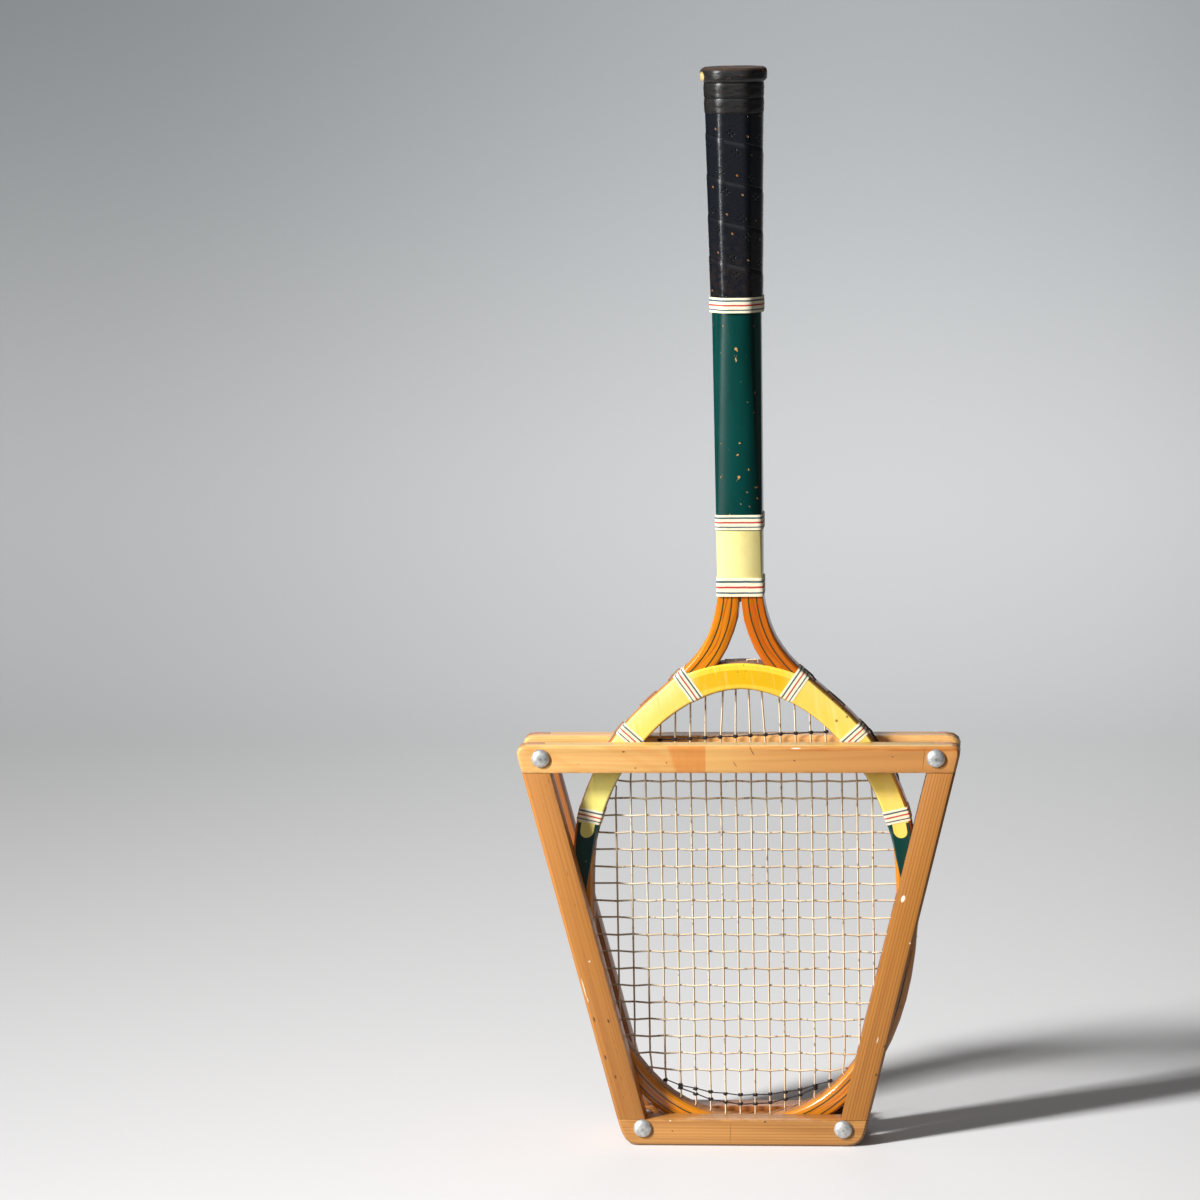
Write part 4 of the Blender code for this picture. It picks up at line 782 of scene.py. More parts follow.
def leather_finish(name):
    """Black leather strip wound round the grip, with its rows of holes."""
    tone = settings("racket_grip")
    finish = Finish(name)
    round_, rise = finish.sheet("grip")
    girth = GRIP_GIRTH
    turns = (rise + round_ * (tone.pitch / girth)) / tone.pitch
    strip = turns.fract() * tone.pitch
    run = round_ - turns.floor() * girth
    half = tone.pitch / 2
    row = strip > half
    level = strip - row * (half * 1.12) - half * 0.40
    step = (run / (19 * MM) + row * 0.5).fract() * (19 * MM)
    single = finish.near(step - 5 * MM, level, 0.72 * MM, 0.25)
    dx, dy = abs(step - 14.2 * MM), abs(level)
    four = finish.near(dx - 1.8 * MM, level, 0.75 * MM, 0.25)
    four = four.most(finish.near(dx, dy - 1.8 * MM, 0.75 * MM, 0.25))
    grain = finish.cells(finish.x * 1900, finish.y * 1900, finish.z * 1900)
    crease = finish.noise(finish.x * 260, finish.y * 260, finish.z * 260, 4, 0.6)
    colour = finish.mix(crease.ease(0.4, 0.8) * 0.7, tone.leather[:], tuple(c * 0.5 for c in tone.leather))
    low = 1 - finish.z.ease(0.55, 0.60)
    colour = finish.mix(low * crease.ease(0.35, 0.7) * 0.45, colour, tone.rubbed[:])
    bare = finish.noise(run * 60, 0.5, turns.floor() * 3.3, 1)
    colour = finish.mix(single * bare.ease(0.42, 0.5), colour, tone.hide[:])
    # Holes that show no bare hide are painted nearly black: painted shade inside the holes.
    colour = finish.mix(four.most(single * (1 - bare.ease(0.42, 0.5))), colour, tint(6, 6, 7))
    # Painted shade: the step where one turn lies on the last is painted nearly black, as under its ledge.
    shaded_step = finish.near(strip - 0.35 * MM, 0.0 * strip, 0.35 * MM)
    colour = finish.mix(shaded_step, colour, tint(3, 3, 3))
    height = grain * 0.04 + crease * 0.2 - four.most(single) * 1.2 - shaded_step * 0.5
    rough = crease.ease(0.3, 0.8) * 0.1 + 0.24
    return finish.done(colour, rough, height, 0.0004)


def band_finish(name):
    """Worn black tape and cap at the butt, rubbed brown in places."""
    tone = settings("racket_grip")
    finish = Finish(name)
    crease = finish.noise(finish.x * 300, finish.y * 300, finish.z * 900, 4, 0.65)
    rub = finish.noise(finish.x * 170, finish.y * 170, finish.z * 330, 4, 0.65)
    high = finish.z.ease(0.676, 0.682)
    colour = finish.mix(crease.ease(0.35, 0.75), tint(20, 20, 22), tint(38, 34, 32))
    colour = finish.mix(rub.ease(0.5, 0.66) * (high * 0.7 + 0.3), colour, tone.rubbed[:])
    top = finish.z.ease(0.6845, 0.686)
    colour = finish.mix(top * 0.8, colour, tint(74, 50, 34))
    colour = finish.mix(rub.ease(0.60, 0.66) * high, colour, tint(150, 98, 58))
    x, z = finish.x - AXIS.x, finish.z
    chip = finish.near((x + 19.5 * MM) / 1.6, (z - 0.6805) / 3.2, 1.0 * MM, 0.3)
    colour = finish.mix(chip * (finish.y < AXIS.y), colour, tint(214, 182, 120))
    return finish.done(colour, top * 0.4 + 0.38, crease + rub * 0.6, 0.0002)


def gut_finish(name, upright):
    """Twisted gut, translucent amber with dark spots at the crossings."""
    tone = settings("racket_strings")
    finish = Finish(name)
    lean = finish.z * 5200 + finish.x * 2600 if upright else finish.x * 5200 + finish.z * 2600
    twist = lean.sine()
    spot = finish.noise(finish.x * 260, finish.y * 300, finish.z * 260, 2)
    old = finish.noise(finish.x * 30, finish.y * 100, finish.z * 30, 2)
    colour = finish.mix(old.ease(0.35, 0.7) * 0.6, tone.gut[:], tint(200, 170, 130))
    colour = finish.mix(spot.ease(0.60, 0.68) * 0.7, colour, tone.stain[:])
    x, level = finish.x - AXIS.x, WIDEST + OPEN_STRAIGHT
    rise = (finish.z - (AXIS.z + level)).most(0.0) / (BRIDGE_LOW - level)
    past = (abs(x) / OPEN_HALF) ** SHOULDER_POWER + rise ** SHOULDER_POWER
    # The loops on the outer face are pinkish brown on the left; on the right they are painted dark, as
    # painted shade.
    loops = finish.mix(x.ease(-10 * MM, 10 * MM), tint(160, 124, 100), tint(72, 58, 46))
    colour = finish.mix(past.ease(1.12, 1.2) * (abs(x) > 24 * MM), colour, loops)
    return finish.done(colour, 0.38, twist, 0.00008, coat=0.3)


def yarn_finish(name):
    finish = Finish(name)
    twist = (finish.x * 4200 + finish.z * 3000 + finish.y * 2000).sine()
    tone = settings("racket_strings").yarn[:]
    colour = finish.mix(twist.ease(-0.5, 0.9), tuple(c * 0.5 for c in tone), tuple(c * 1.6 for c in tone))
    return finish.done(colour, 0.75, twist, 0.00008)


# Finishes of the press

def lath_finish(node, run, middle, half, look):
    """Sawn and varnished lath; run is its direction and middle a point of its centre line."""
    finish = Finish(node + "_wood")
    x, z = finish.x - middle.x, finish.z - middle.z
    along = x * run.x + z * run.z
    across = z * run.x - x * run.z
    deep = finish.y - middle.y
    light, dark, *shares = look
    pale = tuple(min(c * 1.25, 1.0) for c in light)
    colour, height = timber(finish, along, across, deep, light, dark, pale, *shares)
    if node == "front_rail_top":
        colour = pale_lath(finish, colour)
    dirt_and_shade = finish.noise(along * 70, across * 240, deep * 240, 3, 0.6)
    # Dirt and painted shade: the rounded edges along the lath are darkened in patches.
    edge = abs(across).ease(half * 0.8, half) * abs(deep).ease(6.5 * MM, 8.0 * MM)
    colour = finish.mix(edge * dirt_and_shade.ease(0.38, 0.6) * 0.5, colour, tint(140, 86, 40))
    nick = finish.noise(along * 150 + 7.7, across * 460, deep * 460, 2, 0.6).ease(0.76, 0.79)
    colour = finish.mix(nick * 0.7, colour, tint(104, 62, 30))
    pale = finish.noise(along * 210, across * 520 + 4.4, deep * 520, 2, 0.6).ease(0.77, 0.80)
    colour = finish.mix(pale * 0.5, colour, tint(246, 216, 170))
    for sx, sz, wide, tall, lean, ink in LATH_MARKS.get(node, ()):
        dx = (finish.x - sx * MM) - (finish.z - sz * MM) * lean
        mark = finish.near(dx / wide, (finish.z - sz * MM) / tall, MM, 0.2) * (finish.y < middle.y)
        colour = finish.mix(mark * 0.9, colour, MARK_INKS[ink])
    rough = 0.40 + dirt_and_shade * 0.15
    return finish.done(colour, rough, height - nick, 0.00003, coat=0.3, coat_rough=0.25)


def pale_lath(finish, colour):
    """The pale top lath: tan to the right, with soft slanting bands and one darker patch."""
    x, z = finish.x, finish.z
    colour = finish.mix(x.ease(-150 * MM, 150 * MM) * 0.85, colour, tint(207, 138, 72))
    bands = finish.noise(x * 30 + z * 62, 0.5, z * 12, 1)
    left = 1 - x.ease(-60 * MM, 0.0)
    colour = finish.mix(bands.ease(0.45, 0.56) * left * 0.5, colour, tint(218, 152, 78))
    slant = (x + z * 0.31 + 36 * MM - 242.8 * MM * 0.31).ease(-4.5 * MM, -1.5 * MM)
    patch = slant * (1 - x.ease(-20.6 * MM, -20.0 * MM))
    ripple = finish.noise(x * 500, 0.5, z * 60, 2)
    colour = finish.mix(patch * (ripple * 0.3 + 0.5), colour, tint(210, 126, 48))
    pale = x.ease(-20.6 * MM, -20.0 * MM) * (1 - x.ease(-20 * MM, 20 * MM))
    colour = finish.mix(pale * 0.5, colour, tint(230, 178, 105))
    # Painted light: the top face is painted paler, as lit from above.
    colour = finish.mix(z.ease(259.7 * MM, 259.95 * MM) * 0.8, colour, tint(248, 202, 108))
    streak = finish.noise(x * 26, 0.5, z * 300, 3)
    rim = z.ease(256.2 * MM, 257.4 * MM) * (1 - z.ease(258.4 * MM, 259.2 * MM))
    share = rim * x.ease(-10 * MM, 30 * MM) * streak.ease(0.3, 0.6) * 0.8
    return finish.mix(share, colour, tint(190, 110, 40))


def zinc_finish(name, place):
    """Dull zinc with a cloudy sheen and a few scratches."""
    finish = Finish(name)
    x, z = finish.x - place.x, finish.z - place.z
    cloud = finish.noise(finish.x * 420, finish.y * 420, finish.z * 420, 4, 0.6)
    scratch = finish.noise(x * 260 + z * 900, finish.y * 900, z * 240, 3, 0.7)
    colour = finish.mix(cloud.ease(0.35, 0.7), settings("racket_press").zinc[:], tint(172, 174, 172))
    dimple = finish.near(x - 0.4 * MM, z + 0.3 * MM, 0.9 * MM, 0.4)
    colour = finish.mix(dimple * 0.5, colour, tint(96, 96, 94))
    rough = cloud * 0.25 + scratch.ease(0.5, 0.75) * 0.12 + 0.28
    return finish.done(colour, rough, scratch * 0.4 - dimple, 0.00006, metal=0.6)


# Pieces of the racket

def sleeve_loops(node):
    """Outer corners of an eight-sided sleeve at its lower and its upper end."""
    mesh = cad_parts[node].data
    low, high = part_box(node)
    loops = []
    for level in (low.z, high.z):
        ring = {}
        for vertex in mesh.vertices:
            if abs(vertex.co.z - level) < 0.05 * MM:
                x, y = vertex.co.x - AXIS.x, vertex.co.y - AXIS.y
                key = round(math.degrees(math.atan2(y, x)) / 4)
                if key not in ring or math.hypot(x, y) > math.hypot(*ring[key]):
                    ring[key] = (x, y)
        corners = sorted(ring.values(), key=lambda p: math.atan2(p[1], p[0]))
        merged = []
        for corner in corners:
            if merged and math.hypot(corner[0] - merged[-1][0], corner[1] - merged[-1][1]) < MM:
                continue
            merged.append(corner)
        loops.append(merged[:8])
    return loops


def round_corners(corners, share=0.24, steps=6):
    """A loop with each corner turned into a short curve."""
    loop = []
    for k, corner in enumerate(corners):
        here = Vector(corner)
        before, after = Vector(corners[k - 1]), Vector(corners[(k + 1) % len(corners)])
        start = here.lerp(before, share)
        end = here.lerp(after, share)
        for step in range(steps + 1):
            t = step / steps
            loop.append(start.lerp(here, t).lerp(here.lerp(end, t), t))
    return loop


class Girdle:
    """A closed loop that is measured along its length, from 0 to 1."""

    def __init__(self, loop):
        self.line = Line([*loop, loop[0]])
        self.length = self.line.marks[-1]

    def at(self, share):
        return self.line.at(min(share, 0.999999) * self.length)


def sleeve_piece(name, node, rows, growth, layer, wall, material, slot, columns=72):
    """A tape or leather sleeve round the handle; growth(s, t) is its swelling."""
    low, high = [Girdle(round_corners(loop)) for loop in sleeve_loops(node)]
    foot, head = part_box(node)

    def where(s, t):
        flat = low.at(s).lerp(high.at(s), t)
        out = flat.normalized() * growth(s, t)
        height = foot.z + (head.z - foot.z) * t
        point = Vector((AXIS.x + flat.x + out.x, AXIS.y + flat.y + out.y, height))
        across = t if layer == "tape" else height - foot.z
        return point, (s * low.length, across)

    piece = wound_sheet(name, columns, rows, where, layer, wall=wall)
    return coat(piece, material, "racket", slot, node)


GRIP_GIRTH = Girdle(round_corners(sleeve_loops("leather_grip")[0])).length


class RACKET_OT_bow(Operator):
    """Plies, veneers and bridge of the racket's bow"""
    bl_idname = "racket.bow"
    bl_label = "Bow and bridge"

    def execute(self, context):
        wood = settings("racket_wood")
        for node in ("bow_outer_ply", "bow_core_ply", "bow_inner_ply", "throat_bridge"):
            piece = cad_copy(node, node + "_fine")
            soften(piece, wood.soften, 1, 38)
            map_along_bow(piece)
            inner = node in ("bow_inner_ply", "throat_bridge")
            coat(piece, bow_wood(node + "_varnish", inner), "racket", None, node)
        top = RING_LOW + 2 * MM - AXIS.z
        marks = OUTER.crossing(1, top)
        for word, depth in zip(("outer", "inner"), PLY_EDGES):
            def where(s, t, depth=depth, half=VENEER_HALF):
                mark = marks[0] + (marks[1] - marks[0]) * s
                here = OUTER.at(mark)
                run = (OUTER.at(mark + 2 * MM) - OUTER.at(mark - 2 * MM)).normalized()
                corners = [(-half, -1), (half, -1), (half, 1), (-half, 1), (-half, -1)]
                k = min(int(t * 4 + 0.001), 3)
                a, b = corners[k], corners[k + 1]
                share = t * 4 - k
                off = depth + a[0] + (b[0] - a[0]) * share
                side = a[1] + (b[1] - a[1]) * share
                flat = here + Vector((run.y, -run.x)) * off * fullness(here.y)
                return in_racket(flat.x, side * (FACE + 0.03 * MM), flat.y), (mark, off)

            piece = wound_sheet("veneer_" + word, 170, 4, where, "bow", flat=True)
            coat(piece, veneer_finish("veneer_%s_dye" % word), "racket", "core_ply")
        return {"FINISHED"}


def facing_stations():
    """Marks on the wall and on the outer face that face each other, from tip to bridge."""
    foot = FACING_TAPER[0][0]
    tie_out, tie_in = BINDINGS["throat"]
    return (
        (WALL.crossing(1, foot)[0], OUTER.crossing(1, foot)[-1]),
        (WALL.crossing(1, tie_in)[0], OUTER.crossing(1, tie_out)[-1]),
        (WALL.marks[-1], None),
    )


def facing_point(s, k, last):
    """Place and depth of the left half of the facing: s from its tip to the bridge, k from wall to edge."""
    tip, tie, top = facing_stations()
    turn = 0.72
    on_bow = s <= turn
    if on_bow:
        share = s / turn
        wall = WALL.at(tip[0] + (tie[0] - tip[0]) * share)
        edge = OUTER.at(tip[1] + (tie[1] - tip[1]) * share)
    else:
        share = (s - turn) / (1 - turn)
        wall = WALL.at(tie[0] + (top[0] - tie[0]) * share)
        x = -34 * MM * (1 - share)
        edge = Vector((x, CRESCENT_TOP - CRESCENT_FALL * x * x))
    width = (edge - wall).length
    height = (wall.y + edge.y) / 2
    inner, outer = FACING_TAPER[-1][1:] if on_bow else (FACING_WALL, 0.0)
    for (low, a, b), (high, c, d) in zip(FACING_TAPER, FACING_TAPER[1:]):
        if height <= high:
            share = max((height - low) / (high - low), 0.0)
            inner, outer = a + (c - a) * share, b + (d - b) * share
            break
    start, end = inner, width - outer
    thin = (end - start) * 0.04
    near = max(BOW_EDGE, start + thin)
    far = min(width - BOW_EDGE, end - thin)
    if k == 0:
        here = start
    elif k == last:
        here = end
    else:
        here = near + (far - near) * (k - 1) / (last - 2)
    drop = max(0.0, BOW_EDGE - (width - here)) if on_bow else 0.0
    if height < YOKE_END:
        drop = max(drop, BOW_EDGE - here)
    return wall.lerp(edge, here / width), width - here, drop


class RACKET_OT_facings(Operator):
    """Lacquered facings over bridge and shoulders, front and back"""
    bl_idname = "racket.facings"
    bl_label = "Facings"

    def execute(self, context):
        last = 8
        for word, side in (("front", -1), ("back", 1)):
            def where(s, t, side=side):
                half = 1 - abs(2 * s - 1)
                flat, depth, drop = facing_point(half, round(t * last), last)
                x = flat.x if s <= 0.5 else -flat.x
                y = side * (FACE + 0.02 * MM - drop)
                return in_racket(x, y, flat.y), (s * 0.44, depth)

            piece = wound_sheet("facing_" + word, 260, last, where, "bow", closed=False)
            solid = piece.modifiers.new("wall", "SOLIDIFY")
            solid.thickness = FACING_WALL
            solid.offset = 0.0
            apply_all(piece)
            for vertex in piece.data.vertices:
                vertex.co.y += side * FACING_WALL / 2
            bpy.ops.object.mode_set(mode="EDIT")
            face_out()
            coat(piece, facing_finish("facing_%s_lacquer" % word), "racket", "bridge")
        return {"FINISHED"}


class RACKET_OT_shaft(Operator):
    """Wedge and lacquered overlays of the shaft"""
    bl_idname = "racket.shaft"
    bl_label = "Shaft"

    def execute(self, context):
        finish = cheek_finish("shaft_lacquer")
        for node, side in (("handle_cheek_front", -1), ("handle_cheek_back", 1)):
            piece = cad_copy(node, node + "_fine")
            for vertex in piece.data.vertices:
                off = abs(vertex.co.y - AXIS.y)
                if off < FACE + 0.5 * MM:
                    vertex.co.y = AXIS.y + side * (FACE - 0.02 * MM)
            pick(piece)
            bpy.ops.object.shade_smooth_by_angle(angle=math.radians(60))
            coat(piece, finish, "racket", None, node)
        wedge = cad_copy("throat_wedge", "throat_wedge_fine")
        soften(wedge, 0.2 * MM, 1)
        map_along_bow(wedge)
        coat(wedge, veneer_finish("wedge_stain"), "racket", None, "throat_wedge")
        return {"FINISHED"}


class RACKET_OT_grip(Operator):
    """Wound leather grip, its bands and the butt cap"""
    bl_idname = "racket.grip"
    bl_label = "Grip"

    def execute(self, context):
        tone = settings("racket_grip")
        foot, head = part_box("leather_grip")
        height = head.z - foot.z

        def wrap(s, t):
            turn = 1 - (t * height / tone.pitch + s) % 1.0
            rim = math.sin(math.pi * min(turn / 0.10, 1.0) / 2)
            return tone.overlap * (rim * (1 - turn) - 0.5)

        sleeve_piece("leather_wrap", "leather_grip", 150, wrap, "grip", -0.9 * MM,
                     leather_finish("grip_leather"), "grip", 96)
        band = band_finish("butt_leather")

        def worn(s, t):
            wave = noise.noise(Vector((math.cos(s * 6.283) * 3, math.sin(s * 6.283) * 3, t * 4)))
            lip = 1 - (2 * t - 1) ** 6
            return (0.28 * lip + 0.22 * wave - 0.1) * MM

        sleeve_piece("butt_band_lower", "butt_tape_lower", 14, worn, "grip", -0.8 * MM, band, "butt_tape")
        sleeve_piece("butt_band_upper", "butt_tape_upper", 14, worn, "grip", -0.8 * MM, band, "butt_tape")
        self.cap(band)
        return {"FINISHED"}

    def cap(self, band):
        """Flared cap: its loops follow the CAD cap, with a rounded rim and a dished end."""
        foot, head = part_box("butt_cap")
        ring = sleeve_loops("butt_tape_upper")[1]
        base = Girdle(round_corners(ring))
        wide = (head.x - foot.x) / 2
        narrow = max(abs(x) for x, _ in ring)
        profile = ((0.0, 0.0), (0.10, 0.55), (0.25, 0.95), (0.5, 1.0), (0.72, 0.97), (0.86, 0.78),
                   (0.94, 0.45), (1.0, -0.2), (0.97, -2.2), (0.95, -5.0), (0.95, -8.4))

        def where(s, t):
            k = min(int(t * (len(profile) - 1)), len(profile) - 2)
            share = t * (len(profile) - 1) - k
            up = profile[k][0] + (profile[k + 1][0] - profile[k][0]) * share
            out = profile[k][1] + (profile[k + 1][1] - profile[k][1]) * share
            flat = base.at(s)
            wave = noise.noise(Vector((flat.x * 300, flat.y * 300, up * 3))) * 0.25 * MM
            grow = (wide - narrow) * min(out, 1.0) + (wave if out > -1 else 0.0)
            scale = 1.0
            if out < -0.2:
                scale = max(1 + (out + 0.2) / 8.2, 0.0)
                grow = -(wide - narrow) * 0.2 * scale
            flat = flat * scale + flat.normalized() * grow
            z = foot.z + (head.z - foot.z) * up
            return Vector((AXIS.x + flat.x, AXIS.y + flat.y, z)), (s * base.length, up * 0.01)

        piece = wound_sheet("butt_cap_worn", 72, 40, where, "grip")
        bpy.ops.object.mode_set(mode="EDIT")
        bpy.ops.mesh.select_all(action="DESELECT")
        bpy.ops.mesh.select_non_manifold()
        bpy.ops.mesh.fill()
        face_out()
        coat(piece, band, "racket", "butt_cap", "butt_cap")


class RACKET_OT_tapes(Operator):
    """Striped tape rings of the shaft and bindings of the bow"""
    bl_idname = "racket.tapes"
    bl_label = "Tapes"

    def execute(self, context):
        tape = tape_finish("striped_tape")
        for node in ("grip_ring", "shaft_ring_upper", "shaft_ring_lower"):
            def swell(s, t, node=node):
                curl = noise.noise(Vector((s * 7, t * 2, len(node))))
                return (0.12 * (1 - (2 * t - 1) ** 4) + 0.1 * curl) * MM
            sleeve_piece(node + "_tape", node, 14, swell, "tape", -0.4 * MM, tape, "ring_tape")
        for word, levels in BINDINGS.items():
            for hand, side in (("left", -1), ("right", 1)):
                self.binding("%s_binding_%s" % (word, hand), levels, side, tape)
        return {"FINISHED"}

    def binding(self, node, levels, side, tape):
        """Tape wound round bow and bridge, its edges between the marks on outer face and wall."""
        half = BINDING_WIDTH / 2
        outer = OUTER.crossing(1, levels[0])[-1]
        inner = WALL.crossing(1, levels[1])[0]
        loops = []
        for step in (-half, half):
            far = OUTER.at(outer + step)
            near = WALL.at(inner + step)
            out = (far - near).normalized()
            far, near = far + out * 0.45 * MM, near - out * 0.45 * MM
            y = FACE + 0.4 * MM
            corners = [(near, -y), (far, -y), (far, y), (near, y)]
            loops.append(corners)

        def ring(corners, share):
            width = (corners[1][0] - corners[0][0]).length
            deep = corners[2][1] - corners[1][1]
            flat = Girdle(round_corners(
                [(0, -deep / 2), (width, -deep / 2), (width, deep / 2), (0, deep / 2)], 0.09, 4))
            spot = flat.at(share)
            place = corners[0][0].lerp(corners[1][0], spot.x / width)
            return place, spot.y, flat.length

        def where(s, t):
            a, ya, length = ring(loops[0], s)
            b, yb, _ = ring(loops[1], s)
            flat = a.lerp(b, t)
            lift = (0.12 * (1 - (2 * t - 1) ** 4)
                    + 0.12 * noise.noise(Vector((s * 8, t * 2, levels[0] * 900 + side)))) * MM
            y = ya + (yb - ya) * t
            y += math.copysign(lift, y)
            return in_racket(-side * flat.x, y, flat.y), (s * length, t)

        piece = wound_sheet(node + "_tape", 64, 10, where, "tape", wall=-0.3 * MM)
        coat(piece, tape, "racket", "binding_tape", node)


class RACKET_OT_strings(Operator):
    """Twisted gut strings and the dark yarns laced across them"""
    bl_idname = "racket.strings"
    bl_label = "Strings"

    def execute(self, context):
        tone = settings("racket_strings")
        for node, upright in (("main_string", True), ("cross_string", False)):
            piece = self.rounded(node, 0.26 * MM, tone.swell)
            for vertex in piece.data.vertices:
                x, z = vertex.co.x - AXIS.x, vertex.co.z - AXIS.z
                if abs(x) > 100 * MM:
                    mark, gap = OUTER.nearest(Vector((x, z)))
                    if -gap < -0.3 * MM:
                        home = OUTER.at(mark)
                        sunk = home.lerp(Vector((x, z)), 0.3 * MM / abs(gap))
                        vertex.co.x, vertex.co.z = AXIS.x + sunk.x, AXIS.z + sunk.y
            coat(piece, gut_finish(node + "_gut", upright), "racket", None, node)
        yarn = yarn_finish("dark_yarn")
        for node in ("throat_yarn", "tip_yarn_upper", "tip_yarn_lower"):
            piece = self.rounded(node, 0.14 * MM, 0.1 * MM)
            coat(piece, yarn, "racket", None, node)
            self.knots(node, yarn, tone.knot)
        return {"FINISHED"}

    def rounded(self, node, edge, swell):
        """The CAD cord has four sides: its edges are rounded and it is swelled a little."""
        piece = cad_copy(node, node + "_round")
        soften(piece, edge, 2, 60)
        pick(piece)
        bpy.ops.object.mode_set(mode="EDIT")
        bpy.ops.mesh.select_all(action="SELECT")
        bpy.ops.transform.shrink_fatten(value=swell)
        bpy.ops.object.mode_set(mode="OBJECT")
        bpy.ops.object.shade_smooth()
        return piece

    def knots(self, node, yarn, radius):
        """A small lump of yarn where a row crosses each upright string."""
        corners = [vertex.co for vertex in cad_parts[node].data.vertices]
        lumps = []
        for k in range(MAIN_COUNT):
            x = AXIS.x + (k - (MAIN_COUNT - 1) / 2) * MAIN_PITCH
            near = [corner for corner in corners if abs(corner.x - x) < 2.4 * MM]
            if not near:
                continue
            heart = sum(near, Vector()) / len(near)
            bpy.ops.mesh.primitive_ico_sphere_add(
                subdivisions=3, radius=radius, location=(x, AXIS.y - 0.4 * MM, heart.z))
            lump = bpy.context.object
            for vertex in lump.data.vertices:
                bump = noise.noise(vertex.co * 1400 + Vector((k * 3.7, 0, 0)))
                turn = math.sin(vertex.co.x * 5200 + vertex.co.z * 3600)
                vertex.co *= 1 + 0.3 * bump + 0.12 * turn
                vertex.co.z *= 0.75
            lumps.append(lump)
        pick(*lumps)
        bpy.ops.object.join()
        piece = settle(named(node + "_knots"))
        bpy.ops.object.shade_smooth()
        coat(piece, yarn, "racket", "yarn")


# Pieces of the press

def lath_places():
    """Direction and a point of the centre line of each lath, as seen from the front."""
    lean = Vector((LEAN, 0, 1)).normalized()
    inset = SIDE_HALF / lean.z
    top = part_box("front_rail_top")[1].z
    return {
        "top": (Vector((1, 0, 0)), Vector((0, 0, top - LEVEL_HALF)), LEVEL_HALF),
        "bottom": (Vector((1, 0, 0)), Vector((0, 0, LEVEL_HALF)), LEVEL_HALF),
        "left": (Vector((-lean.x, 0, lean.z)), Vector((inset - PRESS_FOOT, 0, 0)), SIDE_HALF),
        "right": (lean, Vector((PRESS_FOOT - inset, 0, 0)), SIDE_HALF),
    }


class RACKET_OT_laths(Operator):
    """Laths of the two press frames"""
    bl_idname = "racket.laths"
    bl_label = "Laths"

    def execute(self, context):
        tone = settings("racket_press")
        # Light and dark wood, year ring, then shares of lines, streaks, clouds, pores and sway
        looks = {
            "front_rail_top": (tone.cream[:], tint(204, 138, 68), 3.6 * MM, 0.35, 0.25, 0.15, 0.1, 1.6),
            "front_rail_bottom": (tone.honey[:], tint(162, 98, 40), 1.9 * MM, 0.45, 0.5, 0.1, 0.15, 0.12),
            "front_rail_left": (tone.orange[:], tint(150, 86, 34), 2.4 * MM, 0.15, 0.4, 0.1, 0.5, 0.4),
            "front_rail_right": (tint(194, 127, 50), tint(126, 72, 24), 1.9 * MM, 0.6, 0.3, 0.1, 0.15, 0.08),
            "back_rail_top": (tint(248, 189, 115), tint(196, 124, 58), 1.8 * MM, 0.4, 0.3, 0.3, 0.2, 1.0),
            "back_rail_bottom": (tint(196, 126, 62), tint(132, 74, 30), 1.5 * MM, 0.5, 0.35, 0.2, 0.2, 0.4),
            "back_rail_left": (tint(190, 118, 52), tint(128, 72, 28), 1.6 * MM, 0.5, 0.35, 0.2, 0.2, 0.3),
            "back_rail_right": (tint(190, 118, 52), tint(128, 72, 28), 1.4 * MM, 0.5, 0.35, 0.2, 0.2, 0.3),
        }
        for node, look in looks.items():
            frame_name, _, lath = node.split("_")
            run, middle, half = lath_places()[lath]
            low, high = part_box(node)
            middle = Vector((middle.x, (low.y + high.y) / 2, middle.z))
            piece = cad_copy(node, node + "_lath")
            soften(piece, 0.35 * MM, 2, 60)
            soften(piece, tone.soften, 3, 40)
            coat(piece, lath_finish(node, run, middle, half, look), "press_" + frame_name, None, node)
        return {"FINISHED"}


